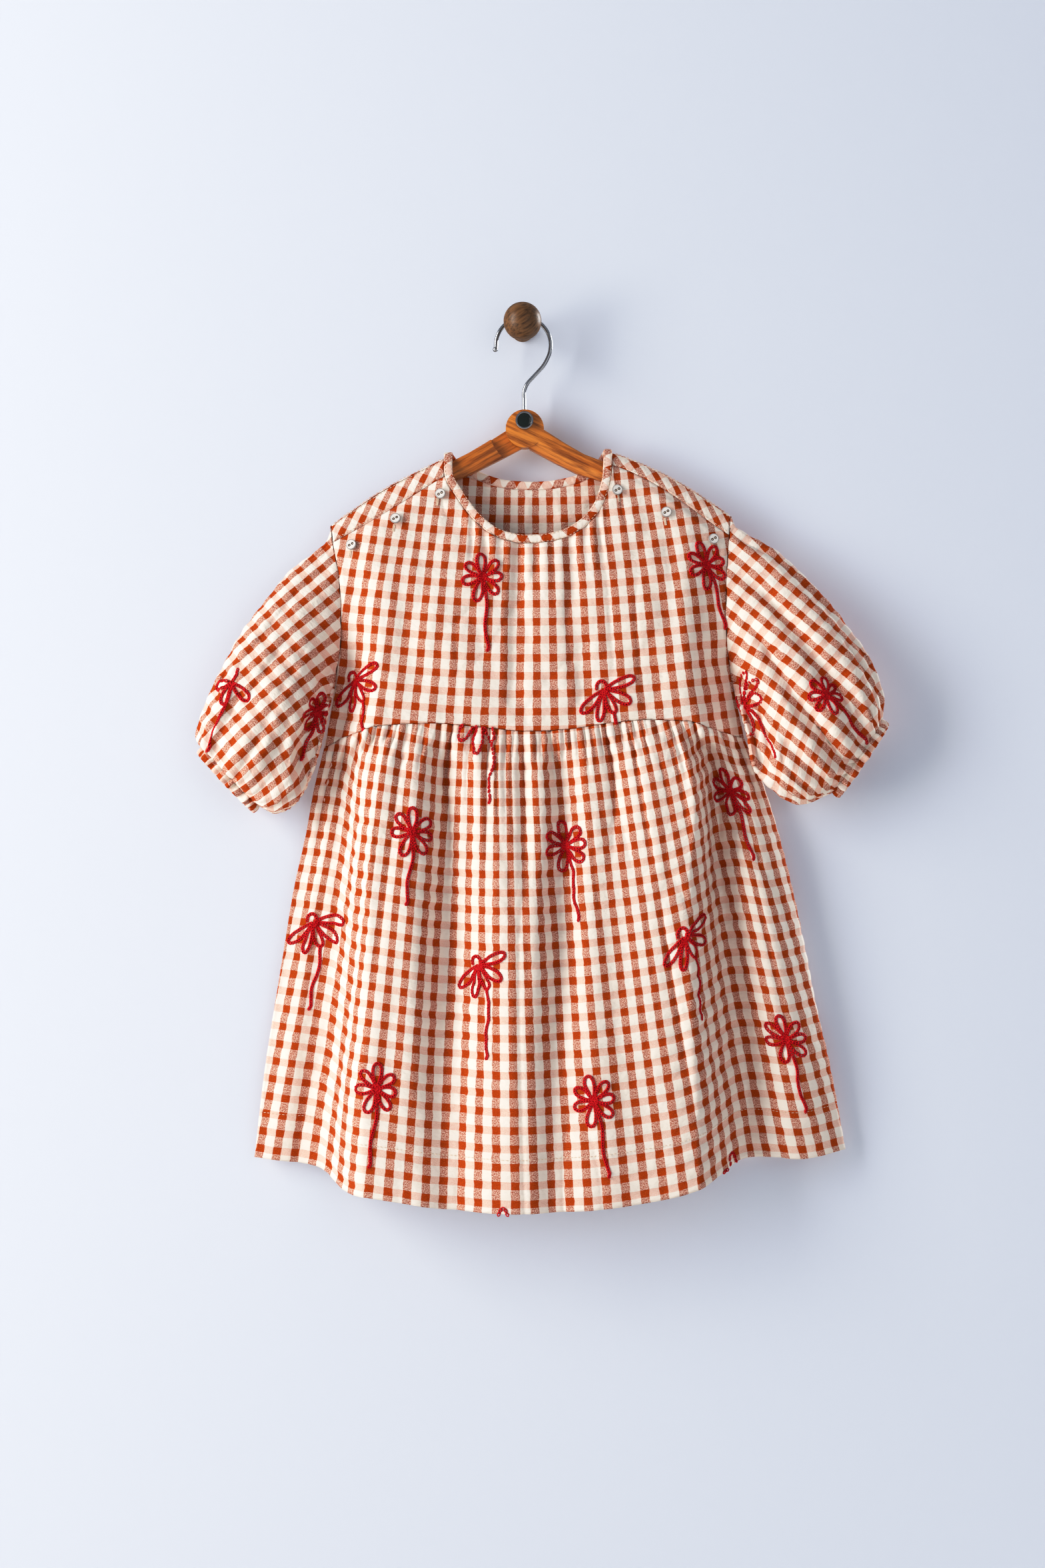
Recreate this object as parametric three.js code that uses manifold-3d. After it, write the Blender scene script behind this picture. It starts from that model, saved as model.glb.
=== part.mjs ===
// Child's gingham dress with puff sleeves, on a folding wooden hanger hung from a ball peg.
// Millimetres, +Z up, +X to the right of someone facing the dress, +Y towards the wall.
// The origin is the middle of the peg's flat back, in the plane of the wall.
import * as THREE from 'three';
import Module from 'manifold-3d';

const wasm = await Module();
wasm.setup();

// Cloth and seams
const wall = 1.3;
const bindingWall = 2;
const gap = 0.3;
const seamDepth = -10;
const layer = (wall + gap) / 2;
const armholeGap = 1;

// Columns of the bodice panels: those along each shoulder, and those round the neck.
// The skirt's own columns are whole multiples, so that both sides of the waist seam run along the same line.
const frontPanel = { shoulder: 5, neck: 28 };
const backPanel = { shoulder: 4, neck: 11 };

// Gathers
const waistGathers = 38;
const waistGatherHeight = 1.2;
const neckGathers = 10;
const neckGatherHeight = 1.1;
const cuffGathers = 24;
const cuffGatherHeight = 1;

// Neck and shoulders
const bindingWidth = 6;
const ridgeDepth = -17.3;
const ridgeHalf = 7.6;
const buttonRadius = 3.9;
const buttonThickness = 1.6;
const buttonLift = 0.5;

// Cuffs
const cuffWidth = 6.5;

// Hanger, hook and peg
const armFront = -22.5;
const armBack = -11.5;
const armMiddle = (armFront + armBack) / 2;
const hub = { x: 1.7, z: -77.3, radius: 14.2 };
const recessRadius = 26.5;
const rivet = { x: 1.4, z: -71.7, shaft: 2.4, flange: 6.6, inlay: 5.5 };
const wire = 1.45;
const ballRadius = 14;
const ballDepth = -34;
const stemRadius = 4.2;
const footRadius = 8.5;

// Edges of the dress seen from the front, top of the armholes to the waist seam
const bodiceSides = [
  { z: -315, left: -148.5, right: 167.2 },
  { z: -306, left: -146.6, right: 165.5 },
  { z: -280, left: -142.3, right: 160 },
  { z: -250, left: -137.5, right: 154 },
  { z: -235, left: -134.8, right: 151.8 },
  { z: -215, left: -134.2, right: 150.4 },
  { z: -190, left: -135.6, right: 150.8 },
  { z: -162, left: -140.6, right: 152.8 },
  { z: -142, left: -142.6, right: 154.5 },
];

// Where the front and back of each armhole and side seam lie, and how far the front swells out
const bodiceDepths = [
  { z: -330, front: -10.8, back: -9.2, swell: 27 },
  { z: -266, front: -10.8, back: -9.2, swell: 27 },
  { z: -250, front: -13.5, back: -8.8, swell: 25 },
  { z: -235, front: -21.5, back: -7.2, swell: 19 },
  { z: -215, front: -27.5, back: -6, swell: 13 },
  { z: -190, front: -28, back: -6, swell: 11 },
  { z: -162, front: -24.9, back: -9.7, swell: 8 },
  { z: -130, front: -24.9, back: -9.7, swell: 4 },
  { z: -95, front: -24.9, back: -9.7, swell: 0.5 },
];

// Shoulder lines, from the neck outwards
const leftRidge = [
  { x: -58.8, z: -99.4 },
  { x: -66, z: -103.2 },
  { x: -78.5, z: -109.2 },
  { x: -101.9, z: -121.6 },
  { x: -127.2, z: -138.4 },
  { x: -141.8, z: -149 },
];
const leftFrontSeam = [
  { x: -58, z: -113.1 },
  { x: -66.7, z: -118.3 },
  { x: -95.9, z: -136.5 },
  { x: -124.6, z: -153.4 },
  { x: -140.6, z: -162 },
];
const leftBackSeam = [
  { x: -58.4, z: -108.4 },
  { x: -78.5, z: -120 },
  { x: -101.9, z: -132.5 },
  { x: -127.2, z: -149.5 },
  { x: -140.6, z: -161 },
];
const rightRidge = [
  { x: 67, z: -95.2 },
  { x: 78, z: -99 },
  { x: 102.4, z: -109.5 },
  { x: 127.7, z: -123.9 },
  { x: 154.5, z: -142 },
];
const rightFrontSeam = [
  { x: 66.6, z: -104.8 },
  { x: 80.1, z: -109.7 },
  { x: 106, z: -123.5 },
  { x: 142.8, z: -149.7 },
  { x: 153.2, z: -156.6 },
];
const rightBackSeam = [
  { x: 66.8, z: -106.8 },
  { x: 78, z: -111 },
  { x: 102.4, z: -121.5 },
  { x: 127.7, z: -136 },
  { x: 153.4, z: -154 },
];

// Neck openings, left to right
const frontNeck = [
  { x: -52.2, z: -95.6 },
  { x: -51.2, z: -113 },
  { x: -44, z: -125.5 },
  { x: -33, z: -140.5 },
  { x: -19.5, z: -151.9 },
  { x: -6.4, z: -156.4 },
  { x: 6.4, z: -157.4 },
  { x: 19.7, z: -156.2 },
  { x: 32.6, z: -152.5 },
  { x: 44, z: -145 },
  { x: 53.5, z: -133 },
  { x: 59, z: -115.5 },
  { x: 60.5, z: -93.2 },
];
const backNeck = [
  { x: -52.2, z: -95.6 },
  { x: -46, z: -101.5 },
  { x: -33, z: -107.5 },
  { x: -15.5, z: -113.3 },
  { x: 3.8, z: -115 },
  { x: 21.5, z: -114.3 },
  { x: 43.5, z: -109 },
  { x: 54, z: -102 },
  { x: 60.5, z: -93.2 },
];

// Waist seam, hem and side edges of the skirt; across runs 0 to 1 from left to right, down from waist to hem
const waistLine = [
  { across: 0, z: -315 },
  { across: 0.044, z: -307.6 },
  { across: 0.086, z: -303.2 },
  { across: 0.131, z: -298.9 },
  { across: 0.255, z: -296.8 },
  { across: 0.39, z: -300.2 },
  { across: 0.485, z: -302.7 },
  { across: 0.58, z: -301.2 },
  { across: 0.68, z: -296.5 },
  { across: 0.77, z: -294.3 },
  { across: 0.86, z: -295.2 },
  { across: 0.92, z: -301 },
  { across: 1, z: -307.5 },
];
const hemLine = [
  { across: 0, front: -620.5, back: -620.5 },
  { across: 0.11, front: -627.5, back: -625 },
  { across: 0.135, front: -633.5, back: -626 },
  { across: 0.16, front: -640, back: -627 },
  { across: 0.2, front: -642, back: -628.5 },
  { across: 0.26, front: -646, back: -630.5 },
  { across: 0.33, front: -651, back: -632 },
  { across: 0.42, front: -652.4, back: -633 },
  { across: 0.5, front: -652.2, back: -633 },
  { across: 0.6, front: -648.8, back: -631.5 },
  { across: 0.7, front: -642, back: -629 },
  { across: 0.75, front: -635.5, back: -627 },
  { across: 0.79, front: -628, back: -625 },
  { across: 0.82, front: -622, back: -623 },
  { across: 0.87, front: -619, back: -620 },
  { across: 0.92, front: -619.9, back: -618.5 },
  { across: 1, front: -614.6, back: -614.6 },
];
const skirtSides = [
  { down: 0, left: -148.5, right: 165.8 },
  { down: 0.1, left: -156, right: 178.5 },
  { down: 0.2, left: -161.5, right: 188.5 },
  { down: 0.35, left: -171.5, right: 200.5 },
  { down: 0.5, left: -179, right: 210.5 },
  { down: 0.65, left: -186.5, right: 219.5 },
  { down: 0.8, left: -193.5, right: 230 },
  { down: 1, left: -200.5, right: 241.5 },
];

// Turns at which the front of the skirt leaves the flat flap at each side: the cloth's own place across
// (the same all the way down), and where that lies between the side edges.
const turns = { left: 0.12, right: 0.86 };
const turnPlaces = [
  { down: 0, left: 0.12, right: 0.86 },
  { down: 0.1, left: 0.105, right: 0.862 },
  { down: 0.2, left: 0.112, right: 0.85 },
  { down: 0.35, left: 0.125, right: 0.822 },
  { down: 0.6, left: 0.14, right: 0.803 },
  { down: 0.8, left: 0.146, right: 0.796 },
  { down: 1, left: 0.155, right: 0.785 },
];
// How far either side of a turn the cloth is on its way forward, how far the front stands out,
// and how full the flaps are
const skirtSwell = [
  { down: 0, leftHalf: 0.06, rightHalf: 0.06, swell: 27, flap: 0 },
  { down: 0.08, leftHalf: 0.055, rightHalf: 0.034, swell: 33, flap: 5 },
  { down: 0.2, leftHalf: 0.045, rightHalf: 0.03, swell: 39, flap: 9 },
  { down: 0.35, leftHalf: 0.04, rightHalf: 0.032, swell: 44, flap: 12 },
  { down: 0.6, leftHalf: 0.04, rightHalf: 0.04, swell: 51, flap: 12 },
  { down: 0.8, leftHalf: 0.04, rightHalf: 0.044, swell: 55, flap: 10 },
  { down: 1, leftHalf: 0.04, rightHalf: 0.04, swell: 58, flap: 6 },
];

// Troughs down the skirt: place across at waist and hem, depth at waist, middle and hem,
// width of the steep left side and of the easy right side
const skirtFolds = [
  { waist: 0.055, hem: 0.06, top: 0, middle: 3, bottom: 3, steep: 8, easy: 9 },
  { waist: 0.308, hem: 0.318, top: 13, middle: 20, bottom: 11, steep: 13, easy: 20 },
  { waist: 0.476, hem: 0.466, top: 6, middle: 2, bottom: 0, steep: 12, easy: 9 },
  { waist: 0.556, hem: 0.53, top: 13, middle: 16, bottom: 8, steep: 9, easy: 17 },
  { waist: 0.645, hem: 0.69, top: 5, middle: 7, bottom: 2, steep: 12, easy: 20 },
];

// Creases of the bodice front, top to bottom
const bodiceFolds = [
  { topX: -4, bottomX: -8, depth: 3.4, steep: 5, easy: 10 },
  { topX: 32, bottomX: 46, depth: 2.6, steep: 6, easy: 9 },
  { topX: -92, bottomX: -76, depth: 1.8, steep: 10, easy: 14 },
  { topX: 112, bottomX: 92, depth: 1.8, steep: 12, easy: 12 },
];

// Sleeves from armhole to cuff: outer edge, inner edge, middle depth and half depth
const leftSleeve = [
  { down: 0, outerX: -142.6, outerZ: -149, innerX: -137.6, innerZ: -250, depth: -17, half: 11.5 },
  { down: 0.2, outerX: -164, outerZ: -172, innerX: -142.2, innerZ: -274, depth: -21, half: 15 },
  { down: 0.4, outerX: -189, outerZ: -204, innerX: -148.4, innerZ: -307, depth: -25, half: 20 },
  { down: 0.6, outerX: -212, outerZ: -236, innerX: -156, innerZ: -334, depth: -28, half: 24 },
  { down: 0.8, outerX: -229.5, outerZ: -269, innerX: -166, innerZ: -353.5, depth: -28, half: 24 },
  { down: 0.94, outerX: -241.8, outerZ: -307, innerX: -184, innerZ: -362.4, depth: -24, half: 19.5 },
  { down: 1, outerX: -236, outerZ: -315, innerX: -196.5, innerZ: -357, depth: -21, half: 14 },
];
const rightSleeve = [
  { down: 0, outerX: 155, outerZ: -142, innerX: 155.6, innerZ: -258, depth: -17, half: 11.5 },
  { down: 0.2, outerX: 178, outerZ: -161, innerX: 161.5, innerZ: -280, depth: -21, half: 15 },
  { down: 0.4, outerX: 206, outerZ: -187.5, innerX: 168.6, innerZ: -306, depth: -25, half: 20 },
  { down: 0.6, outerX: 236, outerZ: -221, innerX: 172, innerZ: -326, depth: -28, half: 24 },
  { down: 0.8, outerX: 257, outerZ: -252, innerX: 186, innerZ: -343.5, depth: -28, half: 24 },
  { down: 0.94, outerX: 266.6, outerZ: -284, innerX: 209, innerZ: -354.6, depth: -24, half: 19.5 },
  { down: 1, outerX: 266, outerZ: -295, innerX: 231, innerZ: -346.4, depth: -21, half: 14 },
];
const sleeveValley = [
  { down: 0, width: 0.02, drop: 0 },
  { down: 0.2, width: 0.12, drop: 0.7 },
  { down: 0.4, width: 0.14, drop: 0.85 },
  { down: 0.6, width: 0.1, drop: 0.8 },
  { down: 0.8, width: 0.03, drop: 0 },
  { down: 1, width: 0.02, drop: 0 },
];
// Long creases of the sleeves: place round the front at armhole and cuff, how far along, depth, width
const leftSleeveFolds = [
  { from: 0.36, to: 0.3, start: 0.25, end: 1, depth: 2.5, width: 0.05 },
  { from: 0.62, to: 0.72, start: 0.45, end: 1, depth: 3.5, width: 0.06 },
];
const rightSleeveFolds = [
  { from: 0.22, to: 0.3, start: 0.12, end: 1, depth: 6, width: 0.055 },
  { from: 0.5, to: 0.55, start: 0.2, end: 1, depth: 4, width: 0.06 },
  { from: 0.7, to: 0.76, start: 0.4, end: 1, depth: 3.5, width: 0.05 },
];

// Hanger arms along their middle line, from the hub to the tip
const leftArm = [
  { x: 1.7, z: -80, half: 9 },
  { x: -12, z: -88, half: 8.4 },
  { x: -24, z: -94.8, half: 7.8 },
  { x: -37, z: -101.9, half: 7.3 },
  { x: -49, z: -107.4, half: 7.1, slim: 0.9 },
  { x: -90, z: -127.6, half: 6.6, slim: 0.84 },
  { x: -131, z: -152, half: 6, slim: 0.78 },
];
const rightArm = [
  { x: 1.7, z: -80, half: 9 },
  { x: 14, z: -87, half: 8.6 },
  { x: 28.3, z: -95.4, half: 8 },
  { x: 43, z: -103.2, half: 7.5 },
  { x: 56, z: -107.6, half: 7.1, slim: 0.9 },
  { x: 100, z: -121.6, half: 6.6, slim: 0.84 },
  { x: 143, z: -146.6, half: 6, slim: 0.78 },
];
// Section of an arm: place across its height (1 is the top edge) and depth from the wall
const armSection = [
  { across: 1, y: armBack - 1.2 },
  { across: 1, y: armFront + 1.4 },
  { across: 0.85, y: armFront },
  { across: -0.15, y: armFront },
  { across: -1, y: armFront + 3.4 },
  { across: -1, y: armBack - 1.2 },
  { across: -0.8, y: armBack },
  { across: 0.8, y: armBack },
];

// Hook wire, from the bead round the loop and down the shank
const hookTip = { x: -20.6, z: -19.4 };
const hookLoop = { x: 0.6, z: -14.2, radius: 20.4 };
const hookTail = [
  { x: 19.6, z: -22 },
  { x: 15.6, z: -29.6 },
  { x: 9.4, z: -36.6 },
  { x: 3.4, z: -43.4 },
  { x: 1.2, z: -49 },
  { x: 1.2, z: -56 },
  { x: 1.2, z: -65.6 },
];

const gingham = 0xd9825a;
const at3 = (x, y, z) => new THREE.Vector3(x, y, z);
const sideways = at3(1, 0, 0);
const upright = at3(0, 0, 1);
const mix = (from, to, part) => from + (to - from) * part;
const clamp = (value) => Math.min(1, Math.max(0, value));

function ease(from, to, at) {
  const part = clamp((at - from) / (to - from));
  return part * part * (3 - 2 * part);
}

// Value of one column of a table at a place in another column, on a smooth curve through the rows.
function along(table, key, column, at) {
  const last = table.length - 1;
  let i = 0;
  while (i < last - 1 && at > table[i + 1][key]) i += 1;
  const slope = (j, k) => (table[k][column] - table[j][column]) / (table[k][key] - table[j][key]);
  const here = slope(i, i + 1);
  const tangent = (j) => {
    if (j === 0 || j === last) return here;
    const before = slope(j - 1, j);
    const after = slope(j, j + 1);
    return before * after > 0 ? (2 * before * after) / (before + after) : 0;
  };
  const span = table[i + 1][key] - table[i][key];
  const s = clamp((at - table[i][key]) / span);
  const a = table[i][column];
  const b = table[i + 1][column];
  const s2 = s * s;
  const s3 = s2 * s;
  return a * (2 * s3 - 3 * s2 + 1) + b * (3 * s2 - 2 * s3)
    + span * (tangent(i) * (s3 - 2 * s2 + s) + tangent(i + 1) * (s3 - s2));
}

// Smooth curve in the plane of the wall through a table's x and z, walked evenly by length.
function planeCurve(table) {
  const points = table.map((row) => at3(row.x, 0, row.z));
  return new THREE.CatmullRomCurve3(points, false, 'centripetal');
}

const curves = {
  leftRidge: planeCurve(leftRidge),
  leftFrontSeam: planeCurve(leftFrontSeam),
  leftBackSeam: planeCurve(leftBackSeam),
  rightRidge: planeCurve(rightRidge),
  rightFrontSeam: planeCurve(rightFrontSeam),
  rightBackSeam: planeCurve(rightBackSeam),
  frontNeck: planeCurve(frontNeck),
  backNeck: planeCurve(backNeck),
};

// Point of a neck line moved away from the opening.
function besideNeck(curve, part, distance) {
  const point = curve.getPointAt(clamp(part));
  const tangent = curve.getTangentAt(clamp(part));
  return { x: point.x + tangent.z * distance, z: point.z - tangent.x * distance };
}

// Part of a neck line where its outer edge reaches a height, searched from one end.
function neckPartAt(curve, distance, z, fromLeft) {
  for (let i = 0; i <= 400; i += 1) {
    const part = fromLeft ? i / 400 : 1 - i / 400;
    if (besideNeck(curve, part, distance).z <= z) return part;
  }
  return fromLeft ? 0 : 1;
}

const fold = (distance, steep, easy) => Math.exp(-((distance / (distance < 0 ? steep : easy)) ** 2));

// Rounded top of the shoulder between the ridge and a seam below it.
function shoulderDepth(z, ridgeZ, seamZ, side) {
  const part = clamp((z - seamZ) / (ridgeZ - seamZ));
  return ridgeDepth + side * ridgeHalf * Math.sqrt(1 - part * part);
}

// Depth of the armhole and side seam edges.
function edgeFront(z, ridgeZ = -110, seamZ = -112) {
  return z > seamZ ? shoulderDepth(z, ridgeZ, seamZ, -1) : along(bodiceDepths, 'z', 'front', z);
}
function edgeBack(z, ridgeZ = -110, seamZ = -112) {
  return z > seamZ ? shoulderDepth(z, ridgeZ, seamZ, 1) : along(bodiceDepths, 'z', 'back', z);
}

// Depth of the bodice front at a place seen from the front.
function bodiceFrontDepth(x, z) {
  const left = along(bodiceSides, 'z', 'left', z);
  const right = along(bodiceSides, 'z', 'right', z);
  const across = clamp((x - left) / (right - left));
  const edge = along(bodiceDepths, 'z', 'front', z);
  const swell = along(bodiceDepths, 'z', 'swell', z);
  const plateau = ease(0, 0.12, across) * (1 - ease(0.88, 1, across));
  const down = clamp((-150 - z) / 150);
  let y = edge - swell * plateau;
  for (const row of bodiceFolds) {
    const middle = mix(row.topX, row.bottomX, down);
    const strength = row.depth * ease(0, 0.15, down) * (1 - ease(0.85, 1, down));
    y += strength * fold(x - middle, row.steep, row.easy);
  }
  return y;
}

function bodiceBackDepth(x, z) {
  const left = along(bodiceSides, 'z', 'left', z);
  const right = along(bodiceSides, 'z', 'right', z);
  const across = clamp((x - left) / (right - left));
  const edge = along(bodiceDepths, 'z', 'back', z);
  const plateau = ease(0, 0.16, across) * (1 - ease(0.84, 1, across)) * ease(-120, -200, z);
  const wave = 0.8 * Math.sin(across * 19) * plateau;
  return mix(edge, -5.2, plateau) + wave;
}

// Cloth panel from its middle surface, seen as rows; each row may have as many columns as the next, or twice
// as many.
// `level` gives the direction that the rim's faces are square to at each end of u and v,
// `seat` the height of a seam that the first or last row's points are set back on.
function clothWall(name, colour, surface, rows, options = {}) {
  const { closed = false, thickness = wall, level = {}, seat = {} } = options;
  const step = 1e-4;
  const wrap = (u) => (closed ? u - Math.floor(u) : clamp(u));
  const at = (u, v) => surface(wrap(u), clamp(v));
  const normalAt = (u, v) => {
    const alongU = at(u + step, v).sub(at(u - step, v));
    const alongV = at(u, v + step).sub(at(u, v - step));
    const normal = alongU.cross(alongV);
    const flatten = [];
    if (!closed && u === 0) flatten.push(level.start);
    if (!closed && u === 1) flatten.push(level.end);
    if (v === rows[0].v) flatten.push(level.first);
    if (v === rows[rows.length - 1].v) flatten.push(level.last);
    for (const axis of flatten) if (axis) normal.addScaledVector(axis, -normal.dot(axis));
    return normal.normalize();
  };
  const outer = [];
  const inner = [];
  const index = [];
  for (const row of rows) {
    const stations = row.stations ?? Array.from({ length: row.columns + 1 }, (_, i) => i / row.columns);
    const kept = closed ? stations.slice(0, -1) : stations;
    index.push(kept.map((u) => {
      const point = at(u, row.v);
      const offset = normalAt(u, row.v).multiplyScalar(thickness / 2);
      const pair = [point.clone().add(offset), point.clone().sub(offset)];
      const height = (row === rows[0] && seat.first) || (row === rows[rows.length - 1] && seat.last);
      if (height) for (const corner of pair) corner.z = height(corner.x);
      outer.push(pair[0]);
      inner.push(pair[1]);
      return outer.length - 1;
    }));
  }
  const faces = [];
  const count = outer.length;
  const face = (a, b, c) => {
    faces.push([a, b, c]);
    faces.push([a + count, c + count, b + count]);
  };
  const ring = (line) => (closed ? [...line, line[0]] : line);
  for (let r = 0; r + 1 < index.length; r += 1) {
    const top = ring(index[r]);
    const low = ring(index[r + 1]);
    const ratio = (top.length - 1) / (low.length - 1);
    for (let i = 0; i + 1 < low.length; i += 1) {
      if (ratio === 1) {
        face(top[i], low[i], low[i + 1]);
        face(top[i], low[i + 1], top[i + 1]);
      } else {
        face(top[2 * i], low[i], top[2 * i + 1]);
        face(top[2 * i + 1], low[i], low[i + 1]);
        face(top[2 * i + 1], low[i + 1], top[2 * i + 2]);
      }
    }
  }
  const rim = (line, flip) => {
    for (let i = 0; i + 1 < line.length; i += 1) {
      const [a, b] = flip ? [line[i + 1], line[i]] : [line[i], line[i + 1]];
      faces.push([a, b, b + count]);
      faces.push([a, b + count, a + count]);
    }
  };
  rim(ring(index[0]), false);
  rim(ring(index[index.length - 1]), true);
  if (!closed) {
    rim(index.map((row) => row[0]), true);
    rim(index.map((row) => row[row.length - 1]), false);
  }
  return solid(name, colour, [...outer, ...inner], faces);
}

// Named mesh from points and faces, turned to face outward.
function solid(name, colour, points, faces) {
  let volume = 0;
  for (const [a, b, c] of faces) volume += points[a].dot(points[b].clone().cross(points[c]));
  const order = volume < 0 ? faces.map(([a, b, c]) => [a, c, b]) : faces;
  const geometry = new THREE.BufferGeometry();
  const numbers = points.flatMap((p) => [p.x, p.y, p.z]);
  geometry.setAttribute('position', new THREE.Float32BufferAttribute(numbers, 3));
  geometry.setIndex(order.flat());
  return named(name, colour, geometry);
}

function named(name, colour, geometry) {
  geometry.computeVertexNormals();
  const mesh = new THREE.Mesh(geometry, new THREE.MeshStandardMaterial({ color: colour, name }));
  mesh.name = name;
  return mesh;
}

function toManifold(geometry) {
  const plain = geometry.clone();
  plain.deleteAttribute('normal');
  plain.deleteAttribute('uv');
  const merged = mergeClose(plain);
  const mesh = new wasm.Mesh({ numProp: 3, vertProperties: merged.points, triVerts: merged.faces });
  return new wasm.Manifold(mesh);
}

// Points closer than a thousandth made one, so that a lathe or cylinder closes.
function mergeClose(geometry) {
  const flat = geometry.index ? geometry.toNonIndexed() : geometry;
  const position = flat.getAttribute('position');
  const seen = new Map();
  const points = [];
  const faces = [];
  for (let i = 0; i < position.count; i += 3) {
    const corner = [0, 1, 2].map((k) => {
      const p = [position.getX(i + k), position.getY(i + k), position.getZ(i + k)];
      const key = p.map((value) => Math.round(value * 1000)).join();
      if (!seen.has(key)) {
        seen.set(key, points.length / 3);
        points.push(...p);
      }
      return seen.get(key);
    });
    if (corner[0] !== corner[1] && corner[1] !== corner[2] && corner[2] !== corner[0]) faces.push(...corner);
  }
  return { points: new Float32Array(points), faces: new Uint32Array(faces) };
}

function fromManifold(name, colour, body) {
  const mesh = body.getMesh();
  const geometry = new THREE.BufferGeometry();
  geometry.setAttribute('position', new THREE.BufferAttribute(new Float32Array(mesh.vertProperties), 3));
  geometry.setIndex(Array.from(mesh.triVerts));
  return named(name, colour, geometry);
}

// Neck stations shared by a binding and the bodice below it, so that both run along the same line.
function neckStations(curve, seamLeft, seamRight, columns, returns) {
  const first = neckPartAt(curve, bindingWidth, seamLeft.z, true);
  const last = neckPartAt(curve, bindingWidth, seamRight.z, false);
  const inside = Array.from({ length: columns + 1 }, (_, i) => mix(first, last, i / columns));
  const left = Array.from({ length: returns }, (_, i) => (first * i) / returns);
  const right = Array.from({ length: returns }, (_, i) => mix(last, 1, (i + 1) / returns));
  return { inside, all: [...left, ...inside, ...right] };
}

const frontStations = neckStations(
  curves.frontNeck, leftFrontSeam[0], rightFrontSeam[0], frontPanel.neck, 3,
);
const backStations = neckStations(
  curves.backNeck, leftBackSeam[0], rightBackSeam[0], backPanel.neck, 3,
);

// Depth of a neck binding: it follows its panel, and turns over the ridge beside the shoulder bands.
function neckDepth(part, z, stations, side) {
  const first = stations.inside[0];
  const last = stations.inside[stations.inside.length - 1];
  const middle = ease(first, first + 0.2, part) * (1 - ease(last - 0.2, last, part));
  const soft = side < 0 ? bodiceFrontDepth(0, z) : mix(-9.7, -8.4, middle);
  if (part >= first && part <= last) return soft;
  const turn = side < 0 ? 1 : 0.5;
  const beside = clamp(1 - (part < first ? part / (turn * first) : (1 - part) / (turn * (1 - last))));
  const around = Math.sqrt(Math.max(0, 1 - beside * beside));
  return mix(ridgeDepth + side * 1.3, soft, around);
}

function binding(name, curve, stations, side) {
  const surface = (u, v) => {
    const edge = besideNeck(curve, u, v * bindingWidth);
    const seat = besideNeck(curve, u, bindingWidth / 2);
    return at3(edge.x, neckDepth(u, seat.z, stations, side), edge.z);
  };
  const rows = [0, 1].map((v) => ({ v, stations: stations.all }));
  return clothWall(name, gingham, surface, rows, { thickness: bindingWall, level: {} });
}

const panelColumns = (panel) => 2 * panel.shoulder + panel.neck;

// Top edge of a bodice panel: up one shoulder seam, round the neck, down the other.
function bodiceTop(across, panel, leftSeam, rightSeam, neck, stations) {
  const columns = panelColumns(panel);
  const shoulderColumns = panel.shoulder;
  const place = across * columns;
  if (place < shoulderColumns) {
    const point = leftSeam.getPointAt(1 - place / shoulderColumns);
    return { x: point.x, z: point.z - 1.2 * gap, onNeck: 0 };
  }
  if (place > columns - shoulderColumns) {
    const point = rightSeam.getPointAt((place - columns + shoulderColumns) / shoulderColumns);
    return { x: point.x, z: point.z - 1.2 * gap, onNeck: 0 };
  }
  const part = (place - shoulderColumns) / (columns - 2 * shoulderColumns);
  const first = stations.inside[0];
  const last = stations.inside[stations.inside.length - 1];
  const edge = besideNeck(neck, mix(first, last, part), bindingWidth + 1.3 * gap);
  return { x: edge.x, z: edge.z, onNeck: part };
}

// Waist seam as straight pieces between the bodice's own columns.
function waistSeam(across, columns) {
  const place = across * columns;
  const i = Math.min(columns - 1, Math.floor(place));
  const at = (k) => {
    const part = k / columns;
    const plateau = ease(0, 0.12, part) * (1 - ease(0.88, 1, part));
    const back = ease(0, 0.16, part) * (1 - ease(0.84, 1, part));
    return {
      x: mix(skirtSides[0].left, skirtSides[0].right, part),
      front: seamDepth - layer - skirtSwell[0].swell * plateau,
      back: mix(seamDepth + layer, -5.2, back),
      z: along(waistLine, 'across', 'z', part),
    };
  };
  const a = at(i);
  const b = at(i + 1);
  const part = place - i;
  return {
    x: mix(a.x, b.x, part),
    front: mix(a.front, b.front, part),
    back: mix(a.back, b.back, part),
    z: mix(a.z, b.z, part),
  };
}

// Height of the waist seam's middle at a place seen from the front.
function waistHeight(x, columns) {
  const across = (x - skirtSides[0].left) / (skirtSides[0].right - skirtSides[0].left);
  return waistSeam(clamp(across), columns).z;
}

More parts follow.
